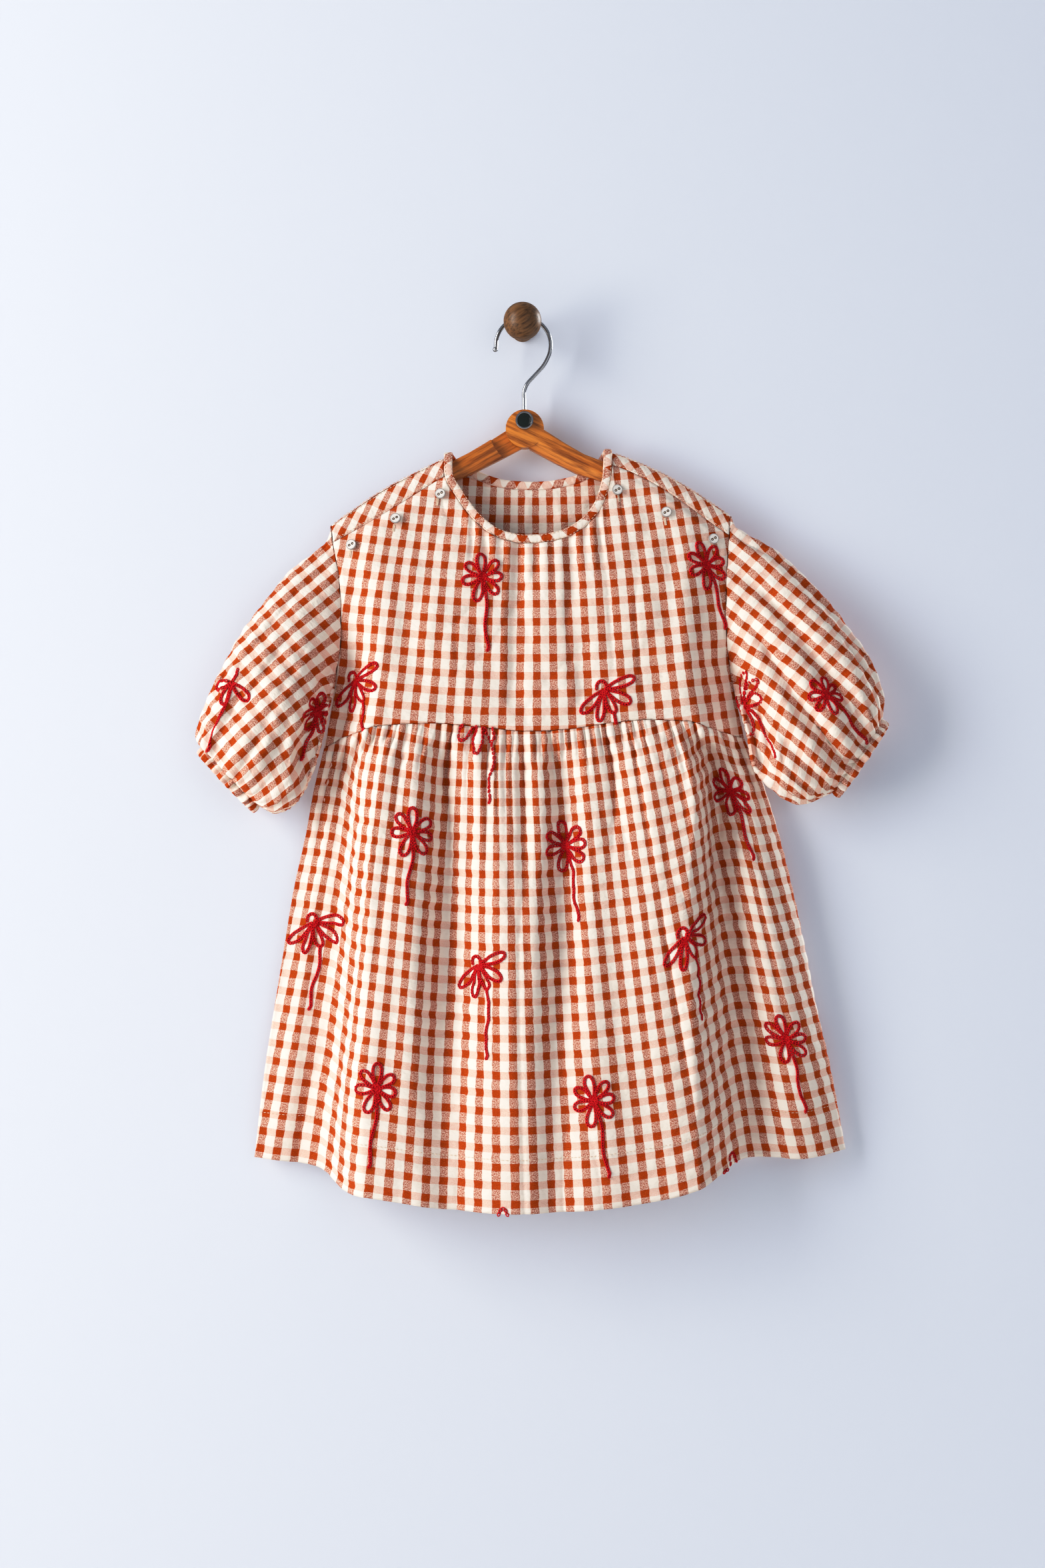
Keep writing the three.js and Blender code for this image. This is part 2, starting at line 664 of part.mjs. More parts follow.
function bodice(name, front) {
  const panel = front ? frontPanel : backPanel;
  const columns = panelColumns(panel);
  const seams = front
    ? [curves.leftFrontSeam, curves.rightFrontSeam, curves.frontNeck, frontStations]
    : [curves.leftBackSeam, curves.rightBackSeam, curves.backNeck, backStations];
  const depth = front ? bodiceFrontDepth : bodiceBackDepth;
  const top = (u) => bodiceTop(u, panel, ...seams);
  const corner = { left: top(0), right: top(1) };
  const side = (v, key) => {
    const low = waistSeam(key === 'left' ? 0 : 1, columns);
    const z = mix(corner[key].z, low.z + gap / 2, v);
    return { x: v === 1 ? low.x : along(bodiceSides, 'z', key, z), z };
  };
  const surface = (u, v) => {
    const high = top(u);
    const low = waistSeam(u, columns);
    low.z += gap / 2;
    const left = side(v, 'left');
    const right = side(v, 'right');
    const lowCorner = { left: waistSeam(0, columns), right: waistSeam(1, columns) };
    const corners = (k) => mix(mix(corner.left[k], corner.right[k], u),
      mix(lowCorner.left[k], lowCorner.right[k], u), v);
    const coons = (k) => mix(high[k], low[k], v) + mix(left[k], right[k], u) - corners(k);
    const x = coons('x');
    const z = coons('z');
    const settle = ease(0.75, 1, v);
    let y = mix(depth(x, z), front ? low.front : low.back, settle);
    const gathered = high.onNeck * frontPanel.neck;
    if (front && gathered > 4 && gathered < 24) {
      const fade = ease(4, 6, gathered) * (1 - ease(22, 24, gathered)) * (1 - ease(0.04, 0.42, v));
      const turn = (Math.PI * (gathered - 4) * neckGathers) / 10;
      y += neckGatherHeight * fade * Math.cos(turn);
    }
    return at3(x, y, z);
  };
  const heights = front
    ? [0, 0.07, 0.17, 0.3, 0.44, 0.58, 0.72, 0.86, 1]
    : [0, 0.14, 0.3, 0.46, 0.62, 0.8, 1];
  const rows = heights.map((v) => ({ v, columns }));
  return clothWall(name, gingham, surface, rows, {
    level: { start: sideways, end: sideways, last: upright },
    seat: { last: (x) => waistHeight(x, columns) + gap * 0.55 },
  });
}

// Where the cloth's place across lies between the side edges, 0 to 1.
function skirtPlace(across, down) {
  const left = along(turnPlaces, 'down', 'left', down);
  const right = along(turnPlaces, 'down', 'right', down);
  const middle = 0.5 + 0.35 * (left - turns.left + right - turns.right);
  const places = [
    { across: 0, place: 0 },
    { across: turns.left, place: left },
    { across: 0.5, place: middle },
    { across: turns.right, place: right },
    { across: 1, place: 1 },
  ];
  return along(places, 'across', 'place', across);
}

// How far the cloth has come forward of the flaps, 0 to 1.
function skirtPlateau(across, down) {
  const leftHalf = along(skirtSwell, 'down', 'leftHalf', down);
  const rightHalf = along(skirtSwell, 'down', 'rightHalf', down);
  const waist = ease(0, 0.12, across) * (1 - ease(0.88, 1, across));
  const rise = ease(turns.left - leftHalf, turns.left + leftHalf, across);
  const fall = 1 - ease(turns.right - rightHalf, turns.right + rightHalf, across);
  return mix(waist, rise * fall, ease(0, 0.07, down));
}

// Depth of the skirt front before gathers.
function skirtFrontDepth(across, down) {
  const row = (column) => along(skirtSwell, 'down', column, down);
  const left = along(skirtSides, 'down', 'left', down);
  const right = along(skirtSides, 'down', 'right', down);
  const width = right - left;
  const plateau = skirtPlateau(across, down);
  const crown = 1 - 0.22 * ((across - 0.5) / 0.4) ** 2 * ease(0.1, 0.6, down);
  const leftFlap = across < 0.5 ? 0.8 * row('flap') * ease(0, 0.05, across) * (1 - plateau) : 0;
  const beyond = clamp((across - turns.right - row('rightHalf')) / (1 - turns.right - row('rightHalf')));
  const rightFlap = 1.2 * row('flap') * Math.sin(Math.PI * beyond);
  let y = seamDepth - layer - row('swell') * plateau * crown - leftFlap - rightFlap;
  for (const line of skirtFolds) {
    const middle = mix(line.waist, line.hem, down);
    const depth = down < 0.45 ? mix(line.top, line.middle, ease(0, 0.45, down))
      : mix(line.middle, line.bottom, ease(0.45, 1, down));
    const spread = 1 + 0.5 * down;
    const distance = (skirtPlace(across, down) - skirtPlace(middle, down)) * width;
    y += depth * ease(0, 0.1, down) * fold(distance, line.steep * spread, line.easy * spread);
  }
  return y;
}

function skirtBackDepth(across, down) {
  const inside = ease(0.1, 0.24, across) * (1 - ease(0.72, 0.84, across));
  const settled = ease(0, 0.16, across) * (1 - ease(0.84, 1, across));
  const width = along(skirtSides, 'down', 'right', down) - along(skirtSides, 'down', 'left', down);
  let y = mix(seamDepth + layer, -5.2, settled);
  for (const line of skirtFolds) {
    const middle = 1 - mix(line.waist, line.hem, down);
    const depth = 0.6 * mix(line.middle, line.bottom, ease(0.3, 1, down));
    const distance = (across - middle) * width;
    y -= depth * inside * ease(0.02, 0.2, down) * fold(distance, line.easy, line.easy);
  }
  return y;
}

function gatherWave(across, count) {
  const even = Math.cos(2 * Math.PI * count * across);
  const uneven = 0.85 + 0.15 * Math.sin(41 * across + 1);
  return even * uneven * ease(0, 0.02, across) * (1 - ease(0.98, 1, across));
}

function skirt(name, front) {
  const columns = panelColumns(front ? frontPanel : backPanel);
  const depth = front ? skirtFrontDepth : skirtBackDepth;
  const surface = (u, v) => {
    const high = waistSeam(u, columns);
    const start = high.z - gap / 2;
    const place = front ? skirtPlace(u, v) : u;
    const left = along(skirtSides, 'down', 'left', v);
    const right = along(skirtSides, 'down', 'right', v);
    const x = v === 0 ? high.x : mix(left, right, place);
    const z = mix(start, along(hemLine, 'across', front ? 'front' : 'back', place), v);
    const settle = ease(0, 0.06, v);
    const height = waistGatherHeight * (1 + 0.2 * ease(0, 0.05, v)) * (1 - ease(0.06, 0.36, v));
    const smooth = mix(front ? high.front : high.back, depth(u, v), settle);
    const y = smooth + height * gatherWave(u, waistGathers);
    return at3(x, front ? Math.min(y, seamDepth - layer) : Math.max(y, seamDepth + layer), z);
  };
  const many = waistGathers * 4;
  const few = waistGathers * 2;
  const rows = [0, 0.035, 0.09].map((v) => ({ v, columns: many }))
    .concat([0.18, 0.32, 0.49, 0.66, 0.83, 1].map((v) => ({ v, columns: few })));
  return clothWall(name, gingham, surface, rows, {
    level: { start: sideways, end: sideways, first: upright },
    seat: { first: (x) => waistHeight(x, columns) - gap * 0.55 },
  });
}

// Half of a shoulder band: the front half from its seam up to near the ridge, the back half from there over
// the ridge and down.
function shoulderBand(name, ridge, seam, side, split) {
  const shoulderColumns = (side < 0 ? frontPanel : backPanel).shoulder;
  const surface = (u, v) => {
    const high = ridge.getPointAt(v);
    const low = seam.getPointAt(v);
    const angle = u * (side < 0 ? split : Math.PI - split);
    const rise = Math.sin(angle);
    const run = Math.cos(angle);
    const y = ridgeDepth + side * ridgeHalf * Math.sign(run) * Math.abs(run) ** 0.8;
    return at3(mix(low.x, high.x, rise), y, mix(low.z, high.z, rise));
  };
  const rows = Array.from({ length: shoulderColumns + 1 }, (_, i) => ({
    v: i / shoulderColumns,
    columns: side < 0 ? 3 : 5,
  }));
  return clothWall(name, gingham, surface, rows, { level: { first: sideways, last: sideways } });
}

// Sleeve ring: 0 is the outer edge, a quarter the front, a half the inner edge.
function sleevePoint(table, valley, folds, ring, down, outward, extra = 0) {
  const row = (column) => along(table, 'down', column, down);
  const part = (1 - Math.cos(2 * Math.PI * ring)) / 2;
  const isFront = ring < 0.5;
  const outer = { x: row('outerX'), z: row('outerZ') };
  const inner = { x: row('innerX'), z: row('innerZ') };
  let x = mix(outer.x, inner.x, part);
  const z = mix(outer.z, inner.z, part);
  const key = outward < 0 ? 'left' : 'right';
  const armhole = along(bodiceSides, 'z', key, z) + outward * armholeGap;
  const open = ease(0, 0.3, down);
  x = mix(armhole, x, open);
  const round = Math.abs(Math.sin(2 * Math.PI * ring));
  let half = row('half') * round;
  const ridge = outward < 0 ? leftRidge[5].z : rightRidge[4].z;
  const seam = outward < 0 ? leftFrontSeam[4].z : rightFrontSeam[4].z;
  if (isFront) {
    const width = along(valley, 'down', 'width', down);
    const drop = along(valley, 'down', 'drop', down);
    half *= 1 - drop * ease(1 - width - 0.06, 1 - width, part);
    for (const crease of folds) {
      const middle = mix(crease.from, crease.to, down);
      const begun = ease(crease.start, crease.start + 0.25, down);
      const strength = crease.depth * begun * (1 - 0.5 * ease(0.9, 1, down));
      half -= strength * fold(part - middle, crease.width * 0.8, crease.width * 1.3) * round;
    }
  }
  const tube = row('depth') + (isFront ? -half : half);
  const edge = isFront ? edgeFront(z, ridge, seam) : edgeBack(z, ridge, seam);
  const y = mix(edge, tube, open);
  const waves = cuffGatherHeight * ease(0.62, 0.95, down) * Math.cos(2 * Math.PI * cuffGathers * ring);
  const toOuter = new THREE.Vector2(outer.x - inner.x, outer.z - inner.z).normalize();
  const cosine = Math.cos(2 * Math.PI * ring);
  const swell = waves + extra;
  const depthward = isFront ? -round : round;
  return at3(x + toOuter.x * cosine * swell, y + depthward * swell, z + toOuter.y * cosine * swell);
}

// Direction in which a cuff faces.
function cuffDirection(table, outward) {
  const last = table[table.length - 1];
  const line = at3(last.outerX - last.innerX, 0, last.outerZ - last.innerZ).normalize();
  const away = at3(-line.z, 0, line.x);
  return away.x * outward < 0 ? away.negate() : away;
}

function sleeve(name, table, folds, outward) {
  const surface = (u, v) => sleevePoint(table, sleeveValley, folds, u, v, outward);
  const rows = [0, 0.16, 0.36, 0.58, 0.78, 0.93, 1].map((v) => ({ v, columns: 2 * cuffGathers }));
  return clothWall(name, gingham, surface, rows, {
    closed: true,
    level: { first: sideways, last: cuffDirection(table, outward) },
  });
}

// Elasticated casing: the sleeve's last ring carried on outward.
function cuff(name, table, folds, outward) {
  const away = cuffDirection(table, outward);
  const surface = (u, v) => {
    const point = sleevePoint(table, sleeveValley, folds, u, 1, outward, -0.5 * Math.sin(Math.PI * v));
    return point.addScaledVector(away, gap + v * cuffWidth);
  };
  const rows = [0, 1].map((v) => ({ v, columns: 2 * cuffGathers }));
  return clothWall(name, gingham, surface, rows, { closed: true, level: { first: away, last: away } });
}

// Depth of a built panel's front face at a place seen from the front.
function faceDepth(panel, x, z) {
  const ray = new THREE.Raycaster(at3(x, -200, z), at3(0, 1, 0));
  return ray.intersectObject(panel)[0].point.y;
}

// Shell button lying on the bodice front, with two holes.
function button(name, place, panel) {
  const disc = new THREE.CylinderGeometry(buttonRadius, buttonRadius - 0.3, buttonThickness, 16);
  let body = toManifold(disc);
  for (const side of [-1, 1]) {
    const hole = new THREE.CylinderGeometry(0.55, 0.55, 4, 6);
    hole.translate(side * 1.1, 0, 0);
    body = body.subtract(toManifold(hole));
  }
  const mesh = fromManifold(name, 0xe4e0da, body);
  const step = buttonRadius * 0.75;
  const depthAt = (dx, dz) => faceDepth(panel, place.x + dx * step, place.z + dz * step);
  const across = depthAt(1, 0) - depthAt(-1, 0);
  const up = depthAt(0, 1) - depthAt(0, -1);
  const normal = at3(across, -2 * step, up).normalize();
  const depth = Math.min(
    depthAt(0, 0),
    (depthAt(1, 0) + depthAt(-1, 0)) / 2,
    (depthAt(0, 1) + depthAt(0, -1)) / 2,
  );
  mesh.quaternion.setFromUnitVectors(at3(0, 1, 0), normal);
  const lift = buttonLift + buttonThickness / 2;
  mesh.position.set(place.x, depth, place.z).addScaledVector(normal, lift);
  mesh.updateMatrix();
  mesh.geometry.applyMatrix4(mesh.matrix);
  mesh.position.set(0, 0, 0);
  mesh.quaternion.identity();
  return mesh;
}

// Bar of changing height along a middle line.
function bar(stations) {
  const points = [];
  const faces = [];
  stations.forEach((station, i) => {
    const before = stations[Math.max(0, i - 1)];
    const after = stations[Math.min(stations.length - 1, i + 1)];
    const run = new THREE.Vector2(after.x - before.x, after.z - before.z).normalize();
    const up = run.x > 0 ? { x: -run.y, z: run.x } : { x: run.y, z: -run.x };
    for (const corner of armSection) {
      const height = corner.across * station.half;
      const y = armMiddle + (corner.y - armMiddle) * (station.slim ?? 1);
      points.push(at3(station.x + up.x * height, y, station.z + up.z * height));
    }
  });
  const sides = armSection.length;
  for (let i = 0; i + 1 < stations.length; i += 1) {
    for (let k = 0; k < sides; k += 1) {
      const a = i * sides + k;
      const b = i * sides + ((k + 1) % sides);
      faces.push([a, b, b + sides], [a, b + sides, a + sides]);
    }
  }
  const end = (stations.length - 1) * sides;
  for (let k = 1; k + 1 < sides; k += 1) {
    faces.push([0, k + 1, k], [end, end + k, end + k + 1]);
  }
  return solid('bar', 0xa8683a, points, faces).geometry;
}

// Cylinder along the depth of the hanger.
function disc(x, z, radius, from, to, segments) {
  const geometry = new THREE.CylinderGeometry(radius, radius, to - from, segments);
  geometry.translate(x, (from + to) / 2, z);
  return toManifold(geometry);
}

function hangerArm(name, stations, front) {
  const lap = gap / 2;
  const cutFrom = front ? armMiddle - lap : armFront - 5;
  const cutTo = front ? armBack + 5 : armMiddle + lap;
  const hubFrom = front ? armFront : armMiddle + lap;
  const hubTo = front ? armMiddle - lap : armBack;
  const clear = front ? hub.radius + 1 : recessRadius;
  const shank = new THREE.CylinderGeometry(wire + gap, wire + gap, 20, 10);
  shank.rotateX(Math.PI / 2);
  shank.translate(hookTail[6].x, armMiddle, hookTail[6].z - gap + 10);
  const body = toManifold(bar(stations))
    .subtract(disc(hub.x, hub.z, clear, cutFrom, cutTo, 40))
    .add(disc(hub.x, hub.z, hub.radius, hubFrom, hubTo, 32))
    .subtract(disc(rivet.x, rivet.z, rivet.shaft + gap, armFront - 5, armBack + 5, 14))
    .subtract(toManifold(shank));
  return fromManifold(name, front ? 0xb06c3a : 0xa8683a, body);
}

function lathe(name, colour, profile, segments, place) {
  const geometry = new THREE.LatheGeometry(profile.map(([r, h]) => new THREE.Vector2(r, h)), segments);
  const merged = mergeClose(geometry);
  const closed = new THREE.BufferGeometry();
  closed.setAttribute('position', new THREE.BufferAttribute(merged.points, 3));
  closed.setIndex(Array.from(merged.faces));
  closed.translate(place.x, 0, place.z);
  return facingOut(named(name, colour, closed));
}

// Turned to face outward where a profile was drawn the other way round.
function facingOut(mesh) {
  const position = mesh.geometry.getAttribute('position');
  const index = Array.from(mesh.geometry.index.array);
  const places = Array.from({ length: position.count }, (_, i) => i);
  const points = places.map((i) => at3(0, 0, 0).fromBufferAttribute(position, i));
  const faces = [];
  for (let i = 0; i < index.length; i += 3) faces.push(index.slice(i, i + 3));
  return solid(mesh.name, mesh.material.color.getHex(), points, faces);
}

function hook() {
  const path = [at3(hookTip.x, armMiddle, hookTip.z)];
  for (let degrees = 182; degrees >= -8; degrees -= 10) {
    const angle = (degrees * Math.PI) / 180;
    path.push(at3(hookLoop.x + hookLoop.radius * Math.cos(angle), armMiddle,
      hookLoop.z + hookLoop.radius * Math.sin(angle)));
  }
  for (const row of hookTail) path.push(at3(row.x, armMiddle, row.z));
  const curve = new THREE.CatmullRomCurve3(path, false, 'centripetal');
  const length = curve.getLength();
  const bead = 1.9;
  const stations = [[0, 0.7], [0.6, 1.5], [bead, bead], [3.2, 1.5], [3.9, wire]];
  for (let i = 1; i <= 28; i += 1) stations.push([mix(3.9, length, i / 28), wire]);
  const sides = 8;
  const points = [];
  const faces = [];
  for (const [distance, radius] of stations) {
    const centre = curve.getPointAt(distance / length);
    const tangent = curve.getTangentAt(distance / length);
    const side = at3(0, 1, 0).cross(tangent).normalize();
    for (let k = 0; k < sides; k += 1) {
      const angle = (2 * Math.PI * k) / sides;
      points.push(centre.clone().addScaledVector(side, radius * Math.cos(angle))
        .addScaledVector(at3(0, 1, 0), radius * Math.sin(angle)));
    }
  }
  for (let i = 0; i + 1 < stations.length; i += 1) {
    for (let k = 0; k < sides; k += 1) {
      const a = i * sides + k;
      const b = i * sides + ((k + 1) % sides);
      faces.push([a, b, b + sides], [a, b + sides, a + sides]);
    }
  }
  const end = (stations.length - 1) * sides;
  for (let k = 1; k + 1 < sides; k += 1) {
    faces.push([0, k + 1, k], [end, end + k, end + k + 1]);
  }
  return solid('hanger_hook', 0xc8c8cc, points, faces);
}

// Ball on a stem, with a flat foot on the wall.
function peg() {
  const profile = [
    [0, 0],
    [footRadius, 0],
    [footRadius, -2.2],
    [footRadius - 1.2, -3.2],
    [stemRadius, -4],
  ];
  const meet = Math.acos(stemRadius / ballRadius);
  for (let i = 0; i <= 8; i += 1) {
    const angle = mix(meet, -Math.PI / 2, i / 8);
    profile.push([Math.max(0, ballRadius * Math.cos(angle)), ballDepth + ballRadius * Math.sin(angle)]);
  }
  profile[profile.length - 1][0] = 0;
  return lathe('wall_peg', 0x6b4423, profile, 20, { x: 0, z: 0 });
}

function rivetRing() {
  const face = armFront - gap;
  const back = armBack + gap;
  const recess = rivet.inlay + gap;
  const profile = [
    [0, face - 1.6],
    [recess, face - 1.6],
    [recess, face - 4.2],
    [rivet.flange - 0.3, face - 4.2],
    [rivet.flange, face - 3.8],
    [rivet.flange, face],
    [rivet.shaft, face],
    [rivet.shaft, back],
    [rivet.flange - 1, back],
    [rivet.flange - 1.4, back + 1.2],
    [0, back + 1.2],
  ];
  return lathe('hanger_rivet', 0xd0d2d6, profile, 20, rivet);
}

function rivetInlay() {
  const face = armFront - gap - 1.6 - gap;
  const profile = [
    [0, face],
    [rivet.inlay, face],
    [rivet.inlay, face - 1.9],
    [rivet.inlay * 0.6, face - 2.5],
    [0, face - 2.7],
  ];
  return lathe('rivet_inlay', 0x1e2a26, profile, 20, rivet);
}

const buttonPlaces = {
  button_left_1: { x: -60.8, z: -127 },
  button_left_2: { x: -93.9, z: -145.6 },
  button_left_3: { x: -126.3, z: -164.6 },
  button_right_1: { x: 70.2, z: -124.1 },
  button_right_2: { x: 106.3, z: -140.8 },
  button_right_3: { x: 141, z: -160.2 },
};

const dress = new THREE.Group();
dress.name = 'gingham_dress_on_hanger';
dress.add(
  bodice('front_bodice', true),
  bodice('back_bodice', false),
  skirt('front_skirt', true),
  skirt('back_skirt', false),
  sleeve('sleeve_left', leftSleeve, leftSleeveFolds, -1),
  sleeve('sleeve_right', rightSleeve, rightSleeveFolds, 1),
  cuff('cuff_left', leftSleeve, leftSleeveFolds, -1),
  cuff('cuff_right', rightSleeve, rightSleeveFolds, 1),
  binding('neck_binding_front', curves.frontNeck, frontStations, -1),
  binding('neck_binding_back', curves.backNeck, backStations, 1),
  shoulderBand('shoulder_band_front_left', curves.leftRidge, curves.leftFrontSeam, -1, 1.15),
  shoulderBand('shoulder_band_back_left', curves.leftRidge, curves.leftBackSeam, 1, 1.2),
  shoulderBand('shoulder_band_front_right', curves.rightRidge, curves.rightFrontSeam, -1, 1.15),
  shoulderBand('shoulder_band_back_right', curves.rightRidge, curves.rightBackSeam, 1, 1.2),
  hangerArm('hanger_arm_left', leftArm, false),
  hangerArm('hanger_arm_right', rightArm, true),
  rivetRing(),
  rivetInlay(),
  hook(),
  peg(),
);
const buttonPanel = dress.getObjectByName('front_bodice');
for (const [name, place] of Object.entries(buttonPlaces)) dress.add(button(name, place, buttonPanel));

export default dress;
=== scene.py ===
"""Embroidered gingham dress with puff sleeves, on a folding wooden hanger hung from a ball peg.

The cloth is laid out from the same named sizes as the solids, finely enough to carry the puckers of
seersucker, then stitched and embroidered. Shapes are worked out in millimetres and built in metres.
"""
import logging
import math
from dataclasses import dataclass, field
from enum import Enum

import bmesh
import bpy
import numpy as np
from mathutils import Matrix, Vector


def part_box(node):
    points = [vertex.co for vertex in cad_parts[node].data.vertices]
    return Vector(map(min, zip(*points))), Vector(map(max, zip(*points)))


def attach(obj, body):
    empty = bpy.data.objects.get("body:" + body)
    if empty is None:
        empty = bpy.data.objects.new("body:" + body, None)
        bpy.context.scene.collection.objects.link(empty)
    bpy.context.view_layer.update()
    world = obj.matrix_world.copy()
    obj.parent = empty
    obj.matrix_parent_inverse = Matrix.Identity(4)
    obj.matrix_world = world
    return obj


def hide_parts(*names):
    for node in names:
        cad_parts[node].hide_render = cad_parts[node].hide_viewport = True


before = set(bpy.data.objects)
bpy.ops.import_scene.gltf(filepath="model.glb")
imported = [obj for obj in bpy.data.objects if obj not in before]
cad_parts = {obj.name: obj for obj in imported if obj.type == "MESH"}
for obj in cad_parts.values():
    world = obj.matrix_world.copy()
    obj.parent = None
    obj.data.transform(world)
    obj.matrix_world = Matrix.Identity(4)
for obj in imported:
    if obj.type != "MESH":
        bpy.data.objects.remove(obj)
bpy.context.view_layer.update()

LOG = logging.getLogger("gingham_dress")
MM = 0.001

# The whole frame of the photograph in the plane of the dress's front, and how far the camera stands from it.
FRAME_HEIGHT = 1152.5
FRAME_PLANE = -40.0
FRAME_MIDDLE = -341.5
CAMERA_DISTANCE = 1600.0

# Cloth and seams
GAP = 0.3
LAYER = 0.8
SEAM_DEPTH = -10.0
BINDING_WIDTH = 6.0
RIDGE_DEPTH = -17.3
RIDGE_HALF = 7.6
CUFF_WIDTH = 6.5
CHECK_ACROSS = 12.0
CHECK_DOWN = 13.2

# How deep the back hangs before the wall, how far the front swells at the waist, and the shares of the
# width over which each of them turns to its side edges
BACK_REST = -5.2
WAIST_SWELL = 27.0
FRONT_TURN = 0.12
BACK_TURN = 0.16

Values = np.ndarray | float
Points = tuple[tuple[float, float], ...]
Link = bpy.types.Node | bpy.types.NodeSocket
Tree, Material, Piece = bpy.types.NodeTree, bpy.types.Material, bpy.types.Object


def mix(start: Values, end: Values, part: Values) -> Values:
    """Value part of the way from start to end."""
    return start + (end - start) * part


def ease(start: float, end: float, at: Values) -> np.ndarray:
    """Smooth step from 0 at start to 1 at end."""
    part = np.clip((np.asarray(at, float) - start) / (end - start), 0.0, 1.0)
    return part * part * (3.0 - 2.0 * part)


def between(edge: float, at: Values) -> np.ndarray:
    """Nothing at both ends of the way from 0 to 1, and 1 farther in than an edge."""
    return ease(0, edge, at) * (1 - ease(1 - edge, 1, at))


def hermite(part: Values, span: Values, ends: tuple, slopes: tuple) -> np.ndarray:
    """Value on a smooth curve between two places.

    Args:
        part: Part of the way from the first place to the second.
        span: Distance between them.
        ends: Values at the two.
        slopes: Slopes of the curve there.

    Returns:
        The values, of the same shape as part.
    """
    s2, s3 = part * part, part * part * part
    return (
        ends[0] * (2 * s3 - 3 * s2 + 1) + ends[1] * (3 * s2 - 2 * s3)
        + span * (slopes[0] * (s3 - 2 * s2 + part) + slopes[1] * (s3 - s2))
    )


def fold(distance: Values, steep: float, easy: float) -> np.ndarray:
    """Cross-section of a trough, 1 at its bottom, steeper on its left than on its right."""
    return np.exp(-((distance / np.where(distance < 0, steep, easy)) ** 2))


def noise(x: Values, y: Values, seed: int = 0) -> np.ndarray:
    """Smooth noise from 0 to 1 on a lattice of whole numbers.

    Args:
        x: First coordinate.
        y: Second coordinate.
        seed: Chooses the pattern.

    Returns:
        Noise of the same shape as x and y.
    """
    x, y = np.broadcast_arrays(np.asarray(x, float), np.asarray(y, float))
    left, low = np.floor(x), np.floor(y)

    def corner(i: int, j: int) -> np.ndarray:
        """Random values at the lattice's corners, i and j steps on."""
        value = np.sin((left + i) * 127.1 + (low + j) * 311.7 + seed * 74.7) * 43758.5453
        return value - np.floor(value)

    across, up = ease(0, 1, x - left), ease(0, 1, y - low)
    return mix(mix(corner(0, 0), corner(1, 0), across), mix(corner(0, 1), corner(1, 1), across), up)


def wrinkles(x: Values, y: Values, seed: int) -> np.ndarray:
    """Thin creases, 1 along each and 0 between them."""
    return (1 - np.abs(2 * noise(x, y, seed) - 1)) ** 4


def chance(number: Values, seed: float) -> np.ndarray:
    """Even random value from 0 to 1 for each whole number."""
    value = np.sin(np.asarray(number, float) * 91.7 + seed * 47.3) * 9631.7
    return value - np.floor(value)


def fan(x: Values, z: Values, centre: tuple[float, float], radius: float) -> tuple[Values, Values]:
    """Place on cloth whose warp fans out from a point above it.

    Args:
        x: Place across in mm.
        z: Height in mm.
        centre: x and z of the point.
        radius: Distance below the point where the cloth's scale is true.

    Returns:
        Distances across and down the cloth.
    """
    aside, drop = x - centre[0], centre[1] - z
    return radius * np.arctan2(aside, drop), np.hypot(aside, drop)


class Side(Enum):
    """Side of the dress in the picture, and the way that its outer edge faces."""

    LEFT = -1
    RIGHT = 1

    @property
    def key(self) -> str:
        """Name of the side's column in a table."""
        return self.name.lower()


class Face(Enum):
    """Front or back of the dress, and the way along the depth that it faces."""

    FRONT = -1
    BACK = 1

    @property
    def key(self) -> str:
        """Name of the face's column in a table."""
        return self.name.lower()


@dataclass(frozen=True)
class Table:
    """Named columns of sizes; the first is the place that the others are looked up by."""

    columns: str
    rows: tuple[tuple[float, ...], ...]

    def at(self, column: str, place: Values) -> np.ndarray:
        """Value of a column on a smooth curve through the rows.

        Args:
            column: Name of the column.
            place: Places in the first column.

        Returns:
            The values, of the same shape as place.
        """
        data = np.array(self.rows, float)
        key, value = data[:, 0], data[:, self.columns.split().index(column)]
        slope = np.diff(value) / np.diff(key)
        before, after = slope[:-1], slope[1:]
        bends = before * after > 0
        middle = np.where(bends, 2 * before * after / np.where(bends, before + after, 1), 0)
        tangent = np.concatenate([slope[:1], middle, slope[-1:]])
        place = np.asarray(place, float)
        i = np.clip(np.searchsorted(key, place, side="right") - 1, 0, len(key) - 2)
        span = key[i + 1] - key[i]
        part = np.clip((place - key[i]) / span, 0, 1)
        return hermite(part, span, (value[i], value[i + 1]), (tangent[i], tangent[i + 1]))


# Edges of the bodice from the waist seam up
BODICE_SIDES = Table("z left right", (
    (-315, -148.5, 167.2), (-306, -146.6, 165.5), (-280, -142.3, 160), (-250, -137.5, 154),
    (-235, -134.8, 151.8), (-215, -134.2, 150.4), (-190, -135.6, 150.8), (-162, -140.6, 152.8),
    (-142, -142.6, 154.5),
))
BODICE_DEPTHS = Table("z front back swell", (
    (-330, -10.8, -9.2, 27), (-266, -10.8, -9.2, 27), (-250, -13.5, -8.8, 25),
    (-235, -21.5, -7.2, 19), (-215, -27.5, -6, 13), (-190, -28, -6, 11),
    (-162, -24.9, -9.7, 8), (-130, -24.9, -9.7, 4), (-95, -24.9, -9.7, 0.5),
))
BODICE_FOLDS = (
    # top x, bottom x, depth, steep side, easy side
    (-4, -8, 3.4, 5, 10), (32, 46, 2.6, 6, 9), (-92, -76, 1.8, 10, 14), (112, 92, 1.8, 12, 12),
)

